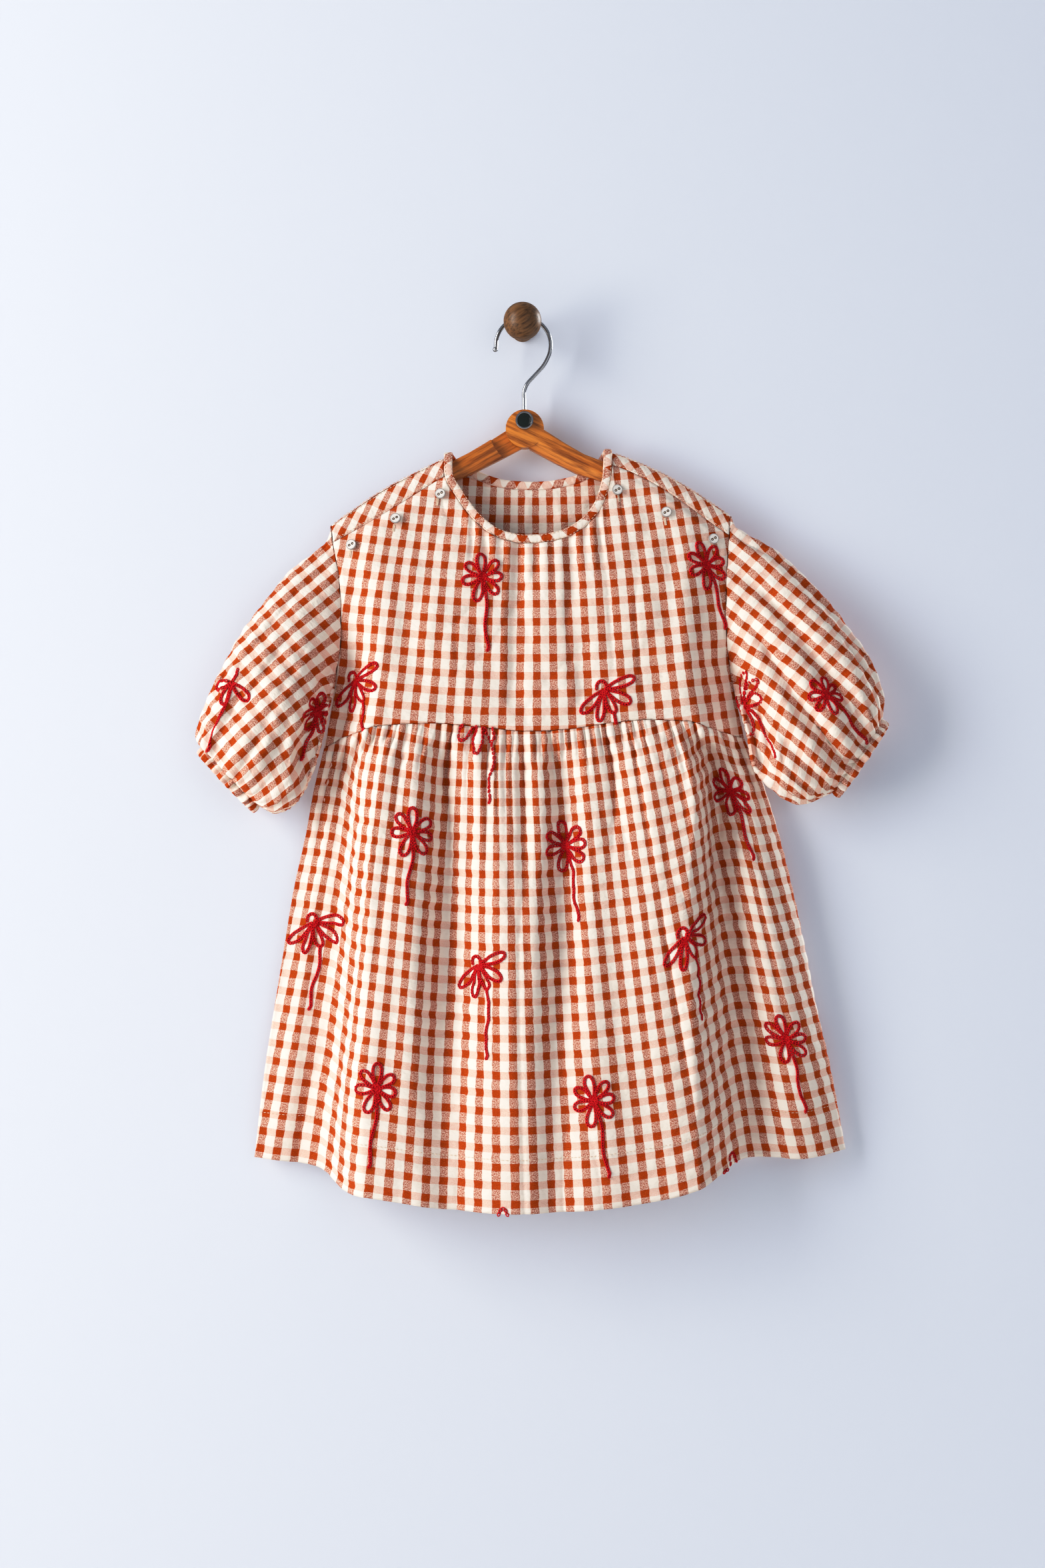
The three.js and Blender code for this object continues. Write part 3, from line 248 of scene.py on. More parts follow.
# Shoulder lines from the neck outwards, and necklines from left to right, as x and z
RIDGES = {
    Side.LEFT: ((-58.8, -99.4), (-66, -103.2), (-78.5, -109.2), (-101.9, -121.6), (-127.2, -138.4),
                (-141.8, -149)),
    Side.RIGHT: ((67, -95.2), (78, -99), (102.4, -109.5), (127.7, -123.9), (154.5, -142)),
}
SEAMS = {
    (Side.LEFT, Face.FRONT): ((-58, -113.1), (-66.7, -118.3), (-95.9, -136.5), (-124.6, -153.4),
                              (-140.6, -162)),
    (Side.LEFT, Face.BACK): ((-58.4, -108.4), (-78.5, -120), (-101.9, -132.5), (-127.2, -149.5),
                             (-140.6, -161)),
    (Side.RIGHT, Face.FRONT): ((66.6, -104.8), (80.1, -109.7), (106, -123.5), (142.8, -149.7),
                               (153.2, -156.6)),
    (Side.RIGHT, Face.BACK): ((66.8, -106.8), (78, -111), (102.4, -121.5), (127.7, -136), (153.4, -154)),
}
NECKS = {
    Face.FRONT: ((-52.2, -95.6), (-51.2, -113), (-44, -125.5), (-33, -140.5), (-19.5, -151.9),
                 (-6.4, -156.4), (6.4, -157.4), (19.7, -156.2), (32.6, -152.5), (44, -145),
                 (53.5, -133), (59, -115.5), (60.5, -93.2)),
    Face.BACK: ((-52.2, -95.6), (-46, -101.5), (-33, -107.5), (-15.5, -113.3), (3.8, -115),
                (21.5, -114.3), (43.5, -109), (54, -102), (60.5, -93.2)),
}

# Waist seam, hem and sides of the skirt
WAIST_ENDS = (-148.5, 165.8)
WAIST_LINE = Table("across z", (
    (0, -315), (0.044, -307.6), (0.086, -303.2), (0.131, -298.9), (0.255, -296.8), (0.39, -300.2),
    (0.485, -302.7), (0.58, -301.2), (0.68, -296.5), (0.77, -294.3), (0.86, -295.2), (0.92, -301),
    (1, -307.5),
))
HEM_LINE = Table("across front back", (
    (0, -620.5, -620.5), (0.11, -627.5, -625), (0.135, -633.5, -626), (0.16, -640, -627),
    (0.2, -642, -628.5), (0.26, -646, -630.5), (0.33, -651, -632), (0.42, -652.4, -633),
    (0.5, -652.2, -633), (0.6, -648.8, -631.5), (0.7, -642, -629), (0.75, -635.5, -627),
    (0.79, -628, -625), (0.82, -622, -623), (0.87, -619, -620), (0.92, -619.9, -618.5),
    (1, -614.6, -614.6),
))
SKIRT_SIDES = Table("down left right", (
    (0, -148.5, 165.8), (0.1, -156, 178.5), (0.2, -161.5, 188.5), (0.35, -171.5, 200.5),
    (0.5, -179, 210.5), (0.65, -186.5, 219.5), (0.8, -193.5, 230), (1, -200.5, 241.5),
))
TURNS = {"left": 0.12, "right": 0.86}
TURN_PLACES = Table("down left right", (
    (0, 0.12, 0.86), (0.1, 0.105, 0.862), (0.2, 0.112, 0.85), (0.35, 0.125, 0.822),
    (0.6, 0.14, 0.803), (0.8, 0.146, 0.796), (1, 0.155, 0.785),
))
SKIRT_SWELL = Table("down left_half right_half swell flap", (
    (0, 0.06, 0.06, 27, 0), (0.08, 0.055, 0.034, 33, 5), (0.2, 0.045, 0.03, 39, 9),
    (0.35, 0.04, 0.032, 44, 12), (0.6, 0.04, 0.04, 51, 12), (0.8, 0.04, 0.044, 55, 10),
    (1, 0.04, 0.04, 58, 6),
))
SKIRT_FOLDS = (
    # across at waist and hem, depth at waist, middle and hem, steep side, easy side
    (0.055, 0.06, 0, 3, 3, 8, 9), (0.308, 0.318, 13, 20, 11, 13, 20), (0.476, 0.466, 6, 2, 0, 12, 9),
    (0.556, 0.53, 13, 16, 8, 9, 17), (0.645, 0.69, 5, 7, 2, 12, 20),
)

# Sleeves from armhole to cuff
SLEEVE_COLUMNS = "down outer_x outer_z inner_x inner_z depth half"
SLEEVES = {
    Side.LEFT: Table(SLEEVE_COLUMNS, (
        (0, -142.6, -149, -137.6, -250, -17, 11.5), (0.2, -164, -172, -142.2, -274, -21, 15),
        (0.4, -189, -204, -148.4, -307, -25, 20), (0.6, -212, -236, -156, -334, -28, 24),
        (0.8, -229.5, -269, -166, -353.5, -28, 24), (0.94, -241.8, -307, -184, -362.4, -24, 19.5),
        (1, -236, -315, -196.5, -357, -21, 14),
    )),
    Side.RIGHT: Table(SLEEVE_COLUMNS, (
        (0, 155, -142, 155.6, -258, -17, 11.5), (0.2, 178, -161, 161.5, -280, -21, 15),
        (0.4, 206, -187.5, 168.6, -306, -25, 20), (0.6, 236, -221, 172, -326, -28, 24),
        (0.8, 257, -252, 186, -343.5, -28, 24), (0.94, 266.6, -284, 209, -354.6, -24, 19.5),
        (1, 266, -295, 231, -346.4, -21, 14),
    )),
}
SLEEVE_VALLEY = Table("down width drop", (
    (0, 0.02, 0), (0.2, 0.14, 0.8), (0.4, 0.18, 1), (0.6, 0.15, 1), (0.8, 0.04, 0), (1, 0.02, 0),
))
SLEEVE_FOLDS = {
    # place round the front at armhole and cuff, start, depth, width
    Side.LEFT: ((0.36, 0.3, 0.25, 3.5, 0.05), (0.62, 0.72, 0.45, 5, 0.06)),
    Side.RIGHT: (
        (0.24, 0.33, 0.08, 7.5, 0.05), (0.52, 0.56, 0.12, 8.5, 0.05), (0.74, 0.78, 0.35, 5, 0.05),
    ),
}


class PlaneCurve:
    """Smooth curve through points of the wall's plane, walked evenly by length."""

    FINENESS = 400

    def __init__(self, points: Points) -> None:
        """Works the curve out.

        Args:
            points: x and z of each point.
        """
        p = np.array(points, float)
        p = np.vstack([2 * p[0] - p[1], p, 2 * p[-1] - p[-2]])
        pieces = []
        steps = np.linspace(0, 1, self.FINENESS // (len(points) - 1) + 2)[:-1, None]
        for i in range(1, len(p) - 2):
            a, b, c, d = p[i - 1 : i + 3]
            ab, bc, cd = (math.sqrt(np.linalg.norm(t - s)) for s, t in ((a, b), (b, c), (c, d)))
            start = ((b - a) / ab - (c - a) / (ab + bc) + (c - b) / bc) * bc
            end = ((c - b) / bc - (d - b) / (bc + cd) + (d - c) / cd) * bc
            pieces.append(
                b + start * steps
                + (-3 * b + 3 * c - 2 * start - end) * steps**2
                + (2 * b - 2 * c + start + end) * steps**3
            )
        self.points = np.vstack([*pieces, p[-2:-1]])
        run = np.hypot(*np.diff(self.points, axis=0).T)
        self.lengths = np.concatenate([[0], np.cumsum(run)])
        self.length = float(self.lengths[-1])

    def at(self, part: Values) -> np.ndarray:
        """Point at a part of the length, as an array of x and z."""
        reach = np.clip(part, 0, 1) * self.length
        return np.stack([np.interp(reach, self.lengths, self.points[:, k]) for k in (0, 1)], -1)

    def tangent(self, part: Values) -> np.ndarray:
        """Direction of the curve at a part of its length.

        Args:
            part: Part of the length.

        Returns:
            Direction of length 1.
        """
        part, step = np.asarray(part), 2e-3
        run = self.at(part + step) - self.at(part - step)
        return run / np.linalg.norm(run, axis=-1, keepdims=True)

    def beside(self, part: Values, distance: Values) -> np.ndarray:
        """Point away from the curve, on the side away from the neck opening."""
        point, run = self.at(part), self.tangent(part)
        return point + np.stack([run[..., 1], -run[..., 0]], -1) * np.asarray(distance)[..., None]

    def part_below(self, distance: float, z: float, from_left: bool) -> float:
        """Part of the length where the line beside the curve first drops to a height.

        Args:
            distance: How far beside the curve the line runs, in mm.
            z: The height in mm.
            from_left: Whether it is looked for from the curve's start or from its end.

        Returns:
            The part, 0 to 1.
        """
        parts = np.linspace(0, 1, self.FINENESS + 1)
        parts = parts if from_left else parts[::-1]
        low = self.beside(parts, distance)[:, 1] <= z
        return float(parts[np.argmax(low)])


def shoulder_depth(z: Values, ridge_z: float, seam_z: float, way: int) -> np.ndarray:
    """Depth of the rounded top of a shoulder between its ridge and a seam below it."""
    part = np.clip((z - seam_z) / (ridge_z - seam_z), 0, 1)
    return RIDGE_DEPTH + way * RIDGE_HALF * np.sqrt(1 - part * part)


def bodice_depth(face: Face, x: Values, z: Values) -> np.ndarray:
    """Depth of the bodice's front or back at a place seen from the front.

    Args:
        face: Which of the two.
        x: Place across in mm.
        z: Height in mm.

    Returns:
        Depths in mm.
    """
    left, right = BODICE_SIDES.at("left", z), BODICE_SIDES.at("right", z)
    across = np.clip((x - left) / (right - left), 0, 1)
    if face is Face.BACK:
        plateau = between(BACK_TURN, across) * (1 - ease(-200, -120, z))
        return mix(BODICE_DEPTHS.at("back", z), BACK_REST, plateau) + 0.8 * np.sin(across * 19) * plateau
    plateau = between(FRONT_TURN, across)
    down = np.clip((-150 - z) / 150, 0, 1)
    y = BODICE_DEPTHS.at("front", z) - BODICE_DEPTHS.at("swell", z) * plateau
    for top, bottom, depth, steep, easy in BODICE_FOLDS:
        strength = depth * ease(0, 0.15, down) * (1 - ease(0.85, 1, down))
        y = y + strength * fold(x - mix(top, bottom, down), steep, easy)
    return y


def waist_seam(across: Values) -> dict[str, np.ndarray]:
    """Waist seam at places across it: x, z, and the depths of the front and back.

    Args:
        across: Places from the left side, 0, to the right, 1.

    Returns:
        Coordinates in mm by their names.
    """
    across = np.asarray(across, float)
    return {
        "x": mix(*WAIST_ENDS, across),
        "z": WAIST_LINE.at("z", across),
        "front": SEAM_DEPTH - LAYER - WAIST_SWELL * between(FRONT_TURN, across),
        "back": mix(SEAM_DEPTH + LAYER, BACK_REST, between(BACK_TURN, across)),
    }


@dataclass
class ClothGrid:
    """Middle surface of a piece of cloth in rows, with each point's place on the cut cloth."""

    points: np.ndarray
    cloth: np.ndarray
    closed: bool = False
    outward: np.ndarray | None = None

    def normals(self) -> np.ndarray:
        """Directions square to the cloth, on its outer side.

        Returns:
            A direction of length 1 for each point.
        """
        points = self.points
        if self.closed:
            wide = np.concatenate([points[:, -2:-1], points, points[:, 1:2]], axis=1)
            along = (wide[:, 2:] - wide[:, :-2]) / 2
        else:
            along = np.gradient(points, axis=1)
        normal = np.cross(along, np.gradient(points, axis=0))
        normal /= np.maximum(np.linalg.norm(normal, axis=-1, keepdims=True), 1e-9)
        if self.outward is not None:
            flipped = np.sum(normal.mean(axis=(0, 1)) * self.outward) < 0
        else:
            middle = points.mean(axis=1, keepdims=True)
            flipped = np.sum((points - middle) * normal) < 0
        return -normal if flipped else normal

    def push(self, height: np.ndarray) -> None:
        """Moves the cloth outward by a height at each point."""
        self.points = self.points + self.normals() * height[..., None]

    def pucker(self, height: float, seed: int, edge: float = 0.0) -> None:
        """Puffs the white weft bands of the seersucker out between its tight rust ones.

        Args:
            height: Half the rise of a puff in mm.
            seed: Chooses the pattern.
            edge: Share of the puckers left at the first and last rows and columns of an open piece.
        """
        across, down = self.cloth[..., 0], self.cloth[..., 1]
        row = down / CHECK_DOWN + 0.16 * (noise(across / 30, down / 40, seed) - 0.5)
        puff = 2 * np.abs(np.cos(np.pi * row)) ** 1.3 - 1
        strength = 0.55 + 0.9 * noise(across / 28, down / 33, seed + 1)
        crinkle = noise(across / 5.2, down / 3.6, seed + 2)
        crinkle = crinkle + 0.7 * noise(across / 9, down / 6, seed + 3) - 0.85
        rows, columns = across.shape
        hold = ease(0, 4, np.minimum(np.arange(rows), np.arange(rows)[::-1]))[:, None]
        if not self.closed:
            hold = hold * ease(0, 4, np.minimum(np.arange(columns), np.arange(columns)[::-1]))[None, :]
        self.push(height * strength * (puff + 0.75 * crinkle) * mix(edge, 1, hold))

    def locate(self, x: float, z: float, way: int) -> tuple[tuple[int, int], np.ndarray]:
        """Finds the point nearest to a place seen from the front or the back.

        Args:
            x: Place across, in mm.
            z: Height in mm.
            way: -1 to look at the side that faces the viewer, 1 at the side that faces the wall.

        Returns:
            Row and column of the point, and how far right and down of it a place off the piece is.
        """
        off = np.hypot(self.points[..., 0] - x, self.points[..., 2] - z)
        hidden = self.normals()[..., 1] * way < -0.05
        cost = off + 60 * hidden + 0.15 * way * -self.points[..., 1]
        spot = tuple(np.unravel_index(np.argmin(cost), cost.shape))
        shift = np.array([(self.points[spot][0] - x) * way, self.points[spot][2] - z])
        return spot, shift if off[spot] > 4 else np.zeros(2)

    def stretch(self, spot: tuple[int, int], reach: float = 12.0) -> np.ndarray:
        """Real distance for each mm across and down the cloth, around a point.

        Args:
            spot: Row and column of the point.
            reach: Distance over the cloth that is measured each way.

        Returns:
            Stretch across and down, held between 0.6 and 1.1.
        """
        steps = np.array([(-reach, 0), (reach, 0), (0, -reach), (0, reach)])
        points, _, _ = self.trace(spot, steps)
        return np.clip(np.linalg.norm(points[1::2] - points[::2], axis=-1) / (2 * reach), 0.6, 1.1)

    def trace(self, start: tuple[int, int], offsets: np.ndarray) -> tuple[np.ndarray, ...]:
        """Finds points of the surface by their distances across the cut cloth.

        Args:
            start: Row and column to measure from.
            offsets: Distances across and down the cloth from there, in mm.

        Returns:
            Points, outer normals, and whether each lies on the piece.
        """
        target = self.cloth[start] + offsets
        slopes = np.gradient(self.cloth, axis=0), np.gradient(self.cloth, axis=1)
        limit = np.array(self.cloth.shape[:2]) - 1.001
        place = np.minimum(np.tile(np.array(start, float), (len(offsets), 1)), limit)
        for _ in range(14):
            miss = target - self.sample(self.cloth, place)
            by_row, by_column = (self.sample(slope, place) for slope in slopes)
            area = by_row[:, 0] * by_column[:, 1] - by_row[:, 1] * by_column[:, 0]
            area = np.where(np.abs(area) < 1e-4, 1e-4, area)
            rows = (miss[:, 0] * by_column[:, 1] - miss[:, 1] * by_column[:, 0]) / area
            columns = (by_row[:, 0] * miss[:, 1] - by_row[:, 1] * miss[:, 0]) / area
            place = np.clip(place + np.clip(np.stack([rows, columns], -1), -6, 6), 0, limit)
        miss = np.linalg.norm(target - self.sample(self.cloth, place), axis=-1)
        normal = self.sample(self.normals(), place)
        normal /= np.linalg.norm(normal, axis=-1, keepdims=True)
        return self.sample(self.points, place), normal, miss < 0.8

    @staticmethod
    def sample(values: np.ndarray, place: np.ndarray) -> np.ndarray:
        """Values of a grid between its points.

        Args:
            values: Grid of values.
            place: Fractional rows and columns.

        Returns:
            A value for each place.
        """
        low = np.floor(place).astype(int)
        r, c = low.T
        up, across = (place - low).T[..., None]
        top = mix(values[r, c], values[r, c + 1], across)
        return mix(top, mix(values[r + 1, c], values[r + 1, c + 1], across), up)

    @staticmethod
    def quads(index: np.ndarray) -> np.ndarray:
        """Corners of the faces between rows of numbered points."""
        corners = index[:-1, :-1], index[:-1, 1:], index[1:, 1:], index[1:, :-1]
        return np.stack(corners, -1).reshape(-1, 4)

    def build(self, name: str, thickness: float, material: Material) -> Piece:
        """Makes the cloth's object, a wall of even thickness.

        Args:
            name: Name of the object.
            thickness: Thickness of the cloth in mm.
            material: Its finish.

        Returns:
            The object, at the origin, with its place in its mesh.
        """
        rows, columns = self.points.shape[:2]
        kept = columns - 1 if self.closed else columns
        index = np.arange(rows * kept).reshape(rows, kept)
        if self.closed:
            index = np.concatenate([index, index[:, :1]], axis=1)
        corners = self.quads(index)
        uv_index = self.quads(np.arange(rows * columns).reshape(rows, columns))
        vertices = self.points[:, :kept].reshape(-1, 3)
        # A face near the middle tells whether they all have to be turned over to point outward.
        chosen = len(corners) // 2 + kept // 3
        first = corners[chosen]
        edge = vertices[first[1]] - vertices[first[0]], vertices[first[3]] - vertices[first[0]]
        row, column = divmod(int(uv_index[chosen][0]), columns)
        if np.dot(np.cross(*edge), self.normals()[row, column]) < 0:
            corners, uv_index = corners[:, ::-1], uv_index[:, ::-1]
        mesh = bpy.data.meshes.new(name)
        mesh.from_pydata((vertices * MM).tolist(), [], corners.tolist())
        layer = mesh.uv_layers.new(name="UVMap")
        layer.data.foreach_set("uv", (self.cloth.reshape(-1, 2)[uv_index.ravel()] * MM).ravel())
        mesh.materials.append(material)
        piece = add_object(name, mesh)
        wall = piece.modifiers.new("Wall", "SOLIDIFY")
        wall.thickness = thickness * MM
        wall.offset = 0.0
        return piece


def add_object(name: str, mesh: bpy.types.Mesh, smooth: bool = True) -> Piece:
    """Adds an object to the scene, shaded smooth where asked.

    Args:
        name: Its name.
        mesh: Its mesh.
        smooth: Whether it is shaded smooth.

    Returns:
        The object.
    """
    piece = bpy.data.objects.new(name, mesh)
    bpy.context.scene.collection.objects.link(piece)
    if smooth:
        mesh.polygons.foreach_set("use_smooth", [True] * len(mesh.polygons))
    return piece


def flatten_modifiers(piece: Piece) -> None:
    """Turns what a piece's modifiers make into its own plain mesh.

    Args:
        piece: The object.
    """
    evaluated = piece.evaluated_get(bpy.context.evaluated_depsgraph_get())
    plain = bpy.data.meshes.new_from_object(evaluated)
    piece.modifiers.clear()
    piece.data = plain


def hand_over(piece: Piece, slot: str, *nodes: str) -> None:
    """Hides the solids that a finished piece replaces, attaches it to what it moves with and logs its faces.

    Args:
        piece: The object.
        slot: Not used.
        *nodes: Solids that it replaces, if any.
    """
    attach(piece, "root")
    if nodes:
        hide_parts(*nodes)
    LOG.info("%s: %d faces", piece.name, len(piece.data.polygons))


# Finishes


def linear(code: str) -> tuple[float, float, float, float]:
    """Linear colour of an sRGB hex code."""
    parts = [int(code[i : i + 2], 16) / 255 for i in (1, 3, 5)]
    return (*(p / 12.92 if p <= 0.04045 else ((p + 0.055) / 1.055) ** 2.4 for p in parts), 1.0)


def add_node(tree: Tree, kind: str, inputs: dict | None = None, **settings: object) -> bpy.types.Node:
    """Adds a node, sets its properties and fills or links its sockets.

    Args:
        tree: Tree that the node joins.
        kind: Blender's name of the node.
        inputs: Values, sockets or nodes by the name or number of the input; a node gives its first
            output, and a colour may be an sRGB hex code.
        **settings: Properties by name.

    Returns:
        The node.
    """
    node = tree.nodes.new(kind)
    for name, value in settings.items():
        setattr(node, name, value)
    for key, value in (inputs or {}).items():
        if isinstance(value, bpy.types.Node):
            value = value.outputs[0]
        elif isinstance(value, str) and value.startswith("#"):
            value = linear(value)
        if isinstance(value, bpy.types.NodeSocket):
            tree.links.new(value, node.inputs[key])
        else:
            node.inputs[key].default_value = value
    return node


def new_material(name: str) -> tuple[Material, Tree]:
    """Empty material with nodes, and its tree.

    Args:
        name: Its name.

    Returns:
        The material and the tree.
    """
    material = bpy.data.materials.new(name)
    material.use_nodes = True
    material.node_tree.nodes.clear()
    return material, material.node_tree


def finish_surface(tree: Tree, inputs: dict) -> None:
    """Ends a material's tree in a surface shader with these inputs."""
    shader = add_node(tree, "ShaderNodeBsdfPrincipled", inputs)
    add_node(tree, "ShaderNodeOutputMaterial", {"Surface": shader})


def blend(
    tree: Tree, part: Link | float, first: Link | str, second: Link | str
) -> bpy.types.NodeSocket:
    """Colour part of the way between two, each a hex code or a socket."""
    node = add_node(tree, "ShaderNodeMix", {0: part, 6: first, 7: second}, data_type="RGBA")
    return node.outputs[2]


@dataclass(frozen=True)
class Gingham:
    """Yarn-dyed cotton seersucker, woven in rust and cream checks.

    Where rust crosses rust the cloth is solid, where a rust warp crosses cream weft it is heathered,
    and where a cream warp crosses rust weft it is a smooth pale pink, as the warp covers the weft.
    """

    name: str = "cotton_seersucker_woven"
    solid: str = "#BF581B"
    solid_deep: str = "#A74611"
    heather_dark: str = "#A5553B"
    heather_pale: str = "#E8C6B6"
    pale: str = "#F0D3C6"
    pale_shade: str = "#E8C1B0"
    cream: str = "#F6EDE3"
    cream_shade: str = "#EEE3D6"
    # Widths of the rust stripes across and down, and half the width of their soft edges, in mm
    rust_across: float = 5.6
    rust_down: float = 5.7
    edge: float = 0.16

    def stripes(
        self, tree: Tree, place: Link, period: float, width: float
    ) -> bpy.types.NodeSocket:
        """Mask of rust stripes along one direction of the cloth.

        Args:
            tree: Tree of the material.
            place: Socket of the distance over the cloth, in mm.
            period: Distance from stripe to stripe.
            width: Width of a stripe.

        Returns:
            Socket that is 1 on a stripe.
        """
        part = add_node(tree, "ShaderNodeMath", {0: place, 1: period}, operation="DIVIDE")
        part = add_node(tree, "ShaderNodeMath", {0: part}, operation="FRACT")
        part = add_node(tree, "ShaderNodeMath", {0: part, 1: 0.5}, operation="SUBTRACT")
        part = add_node(tree, "ShaderNodeMath", {0: part}, operation="ABSOLUTE")
        mask = add_node(tree, "ShaderNodeMapRange", {
            0: part,
            1: (width / 2 - self.edge) / period,
            2: (width / 2 + self.edge) / period,
            3: 1.0,
            4: 0.0,
        }, interpolation_type="SMOOTHSTEP")
        return mask.outputs[0]

    def build(self) -> Material:
        """Makes the material.

        Returns:
            The material.
        """
        material, tree = new_material(self.name)
        cloth = add_node(tree, "ShaderNodeUVMap", uv_map="UVMap")
        place = add_node(tree, "ShaderNodeVectorMath", {0: cloth, 3: 1 / MM}, operation="SCALE")
        # The beat-up of the loom is never even: stripes wander by a quarter of a millimetre.
        wander = add_node(tree, "ShaderNodeTexNoise", {"Vector": place, "Scale": 0.16, "Detail": 1.0})
        shift = add_node(tree, "ShaderNodeVectorMath", {
            0: wander.outputs["Color"], 1: (1.3, 0.9, 0.0), 2: place,
        }, operation="MULTIPLY_ADD")
        apart = add_node(tree, "ShaderNodeSeparateXYZ", {0: shift})
        warp = self.stripes(tree, apart.outputs[0], CHECK_ACROSS, self.rust_across)
        weft = self.stripes(tree, apart.outputs[1], CHECK_DOWN, self.rust_down)
        # Single yarns, 0.25 mm apart in the real cloth, are drawn 0.7 mm apart so that they show.
        yarns = add_node(tree, "ShaderNodeVectorMath", {0: place, 1: (1.5, 1.1, 1.0)}, operation="MULTIPLY")
        flecks = add_node(tree, "ShaderNodeTexNoise", {
            "Vector": yarns, "Scale": 1.0, "Detail": 2.0, "Roughness": 0.7,
        })
        speckle = add_node(tree, "ShaderNodeMapRange", {0: flecks, 1: 0.38, 2: 0.62})
        cloudy = add_node(tree, "ShaderNodeTexNoise", {"Vector": place, "Scale": 0.05, "Detail": 3.0})
        cream = blend(tree, cloudy, self.cream_shade, self.cream)
        pale = blend(tree, speckle, self.pale_shade, self.pale)
        heather = blend(tree, speckle, self.heather_dark, self.heather_pale)
        solid = blend(tree, speckle, self.solid_deep, self.solid)
        ground = blend(tree, weft, cream, pale)
        stripe = blend(tree, weft, heather, solid)
        colour = blend(tree, warp, ground, stripe)
        weave = add_node(tree, "ShaderNodeBump", {
            "Strength": 0.35, "Distance": 0.25 * MM, "Height": flecks,
        })
        wide = add_node(tree, "ShaderNodeVectorMath", {
            0: place, 1: (0.24, 0.44, 1.0),
        }, operation="MULTIPLY")
        crinkle = add_node(tree, "ShaderNodeTexNoise", {"Vector": wide, "Scale": 1.0, "Detail": 2.0})
        relief = add_node(tree, "ShaderNodeBump", {
            "Strength": 0.6, "Distance": 0.9 * MM, "Height": crinkle, "Normal": weave,
        })
        finish_surface(tree, {
            "Base Color": colour,
            "Roughness": 0.9,
            "Specular IOR Level": 0.12,
            "Sheen Weight": 0.03,
            "Sheen Roughness": 0.5,
            "Normal": relief,
        })
        return material


@dataclass(frozen=True)
class Thread:
    """Spun and dyed cotton thread, with the soft gloss of its twist."""

    name: str
    colour: str
    # Colour of the painted shade in the grooves of the twist
    deep: str
    roughness: float = 0.55

    def build(self) -> Material:
        """Makes the material.

        Returns:
            The material.
        """
        material, tree = new_material(self.name)
        place = add_node(tree, "ShaderNodeTexCoord").outputs["Object"]
        # A twist every 0.9 mm, with painted shade in its grooves, over a bump of the same pattern.
        twist = add_node(tree, "ShaderNodeTexNoise", {"Vector": place, "Scale": 1100.0, "Detail": 1.0})
        colour = blend(tree, twist, self.deep, self.colour)
        relief = add_node(tree, "ShaderNodeBump", {"Strength": 0.5, "Distance": 0.2 * MM, "Height": twist})
        finish_surface(tree, {
            "Base Color": colour,
            "Roughness": self.roughness,
            "Specular IOR Level": 0.3,
            "Normal": relief,
        })
        return material


@dataclass(frozen=True)
class OiledWood:
    """Hardwood that was planed or turned, then oiled: grain in long streaks with a satin gloss."""

    name: str
    light: str
    middle: str
    dark: str
    turn: float
    streak: float = 1.1
    roughness: float = 0.4
    coat: float = 0.3

    def build(self) -> Material:
        """Makes the material, with its grain turned by an angle about the depth.

        Returns:
            The material.
        """
        material, tree = new_material(self.name)
        place = add_node(tree, "ShaderNodeTexCoord").outputs["Object"]
        along = add_node(tree, "ShaderNodeVectorRotate", {
            "Vector": place, "Angle": self.turn,
        }, rotation_type="Y_AXIS")
        fine = add_node(tree, "ShaderNodeVectorMath", {
            0: along, 1: (26.0, 420.0, 420.0),
        }, operation="MULTIPLY")
        grain = add_node(tree, "ShaderNodeTexNoise", {
            "Vector": fine, "Scale": self.streak, "Detail": 5.0, "Roughness": 0.62,
        })
        rings = add_node(tree, "ShaderNodeVectorMath", {
            0: along, 1: (9.0, 90.0, 90.0),
        }, operation="MULTIPLY")
        broad = add_node(tree, "ShaderNodeTexNoise", {
            "Vector": rings, "Scale": 1.0, "Detail": 3.0, "Distortion": 0.8,
        })
        pores = add_node(tree, "ShaderNodeMapRange", {0: grain, 1: 0.3, 2: 0.72})
        bands = add_node(tree, "ShaderNodeMapRange", {0: broad, 1: 0.32, 2: 0.68})
        colour = blend(tree, pores, self.dark, self.middle)
        colour = blend(tree, bands, colour, self.light)
        soft = blend(tree, 0.4, colour, self.middle)
        worn = add_node(tree, "ShaderNodeMapRange", {0: grain, 1: 0.34, 2: 0.56, 3: 0.15, 4: 1.0})
        streaks = blend(tree, worn, self.dark, soft)
        relief = add_node(tree, "ShaderNodeBump", {"Strength": 0.3, "Distance": 0.2 * MM, "Height": grain})
        finish_surface(tree, {
            "Base Color": streaks,
            "Roughness": self.roughness,
            "Coat Weight": self.coat,
            "Coat Roughness": 0.22,
            "Normal": relief,
        })
        return material


@dataclass(frozen=True)
class Polished:
    """Smooth hard finish, plated steel or baked enamel, with a faint unevenness of its polish."""

    name: str
    colour: str
    tint: str
    metallic: float
    roughness: float
    scale: float = 300.0
    coat: float = 0.0

    def build(self) -> Material:
        """Makes the material.

        Returns:
            The material.
        """
        material, tree = new_material(self.name)
        place = add_node(tree, "ShaderNodeTexCoord").outputs["Object"]
        cloud = add_node(tree, "ShaderNodeTexNoise", {"Vector": place, "Scale": self.scale, "Detail": 3.0})
        colour = blend(tree, cloud, self.colour, self.tint)
        worn = add_node(tree, "ShaderNodeMapRange", {
            0: cloud, 3: self.roughness * 0.8, 4: self.roughness * 1.3,
        })
        finish_surface(tree, {
            "Base Color": colour,
            "Metallic": self.metallic,
            "Roughness": worn,
            "Coat Weight": self.coat,
        })
        return material


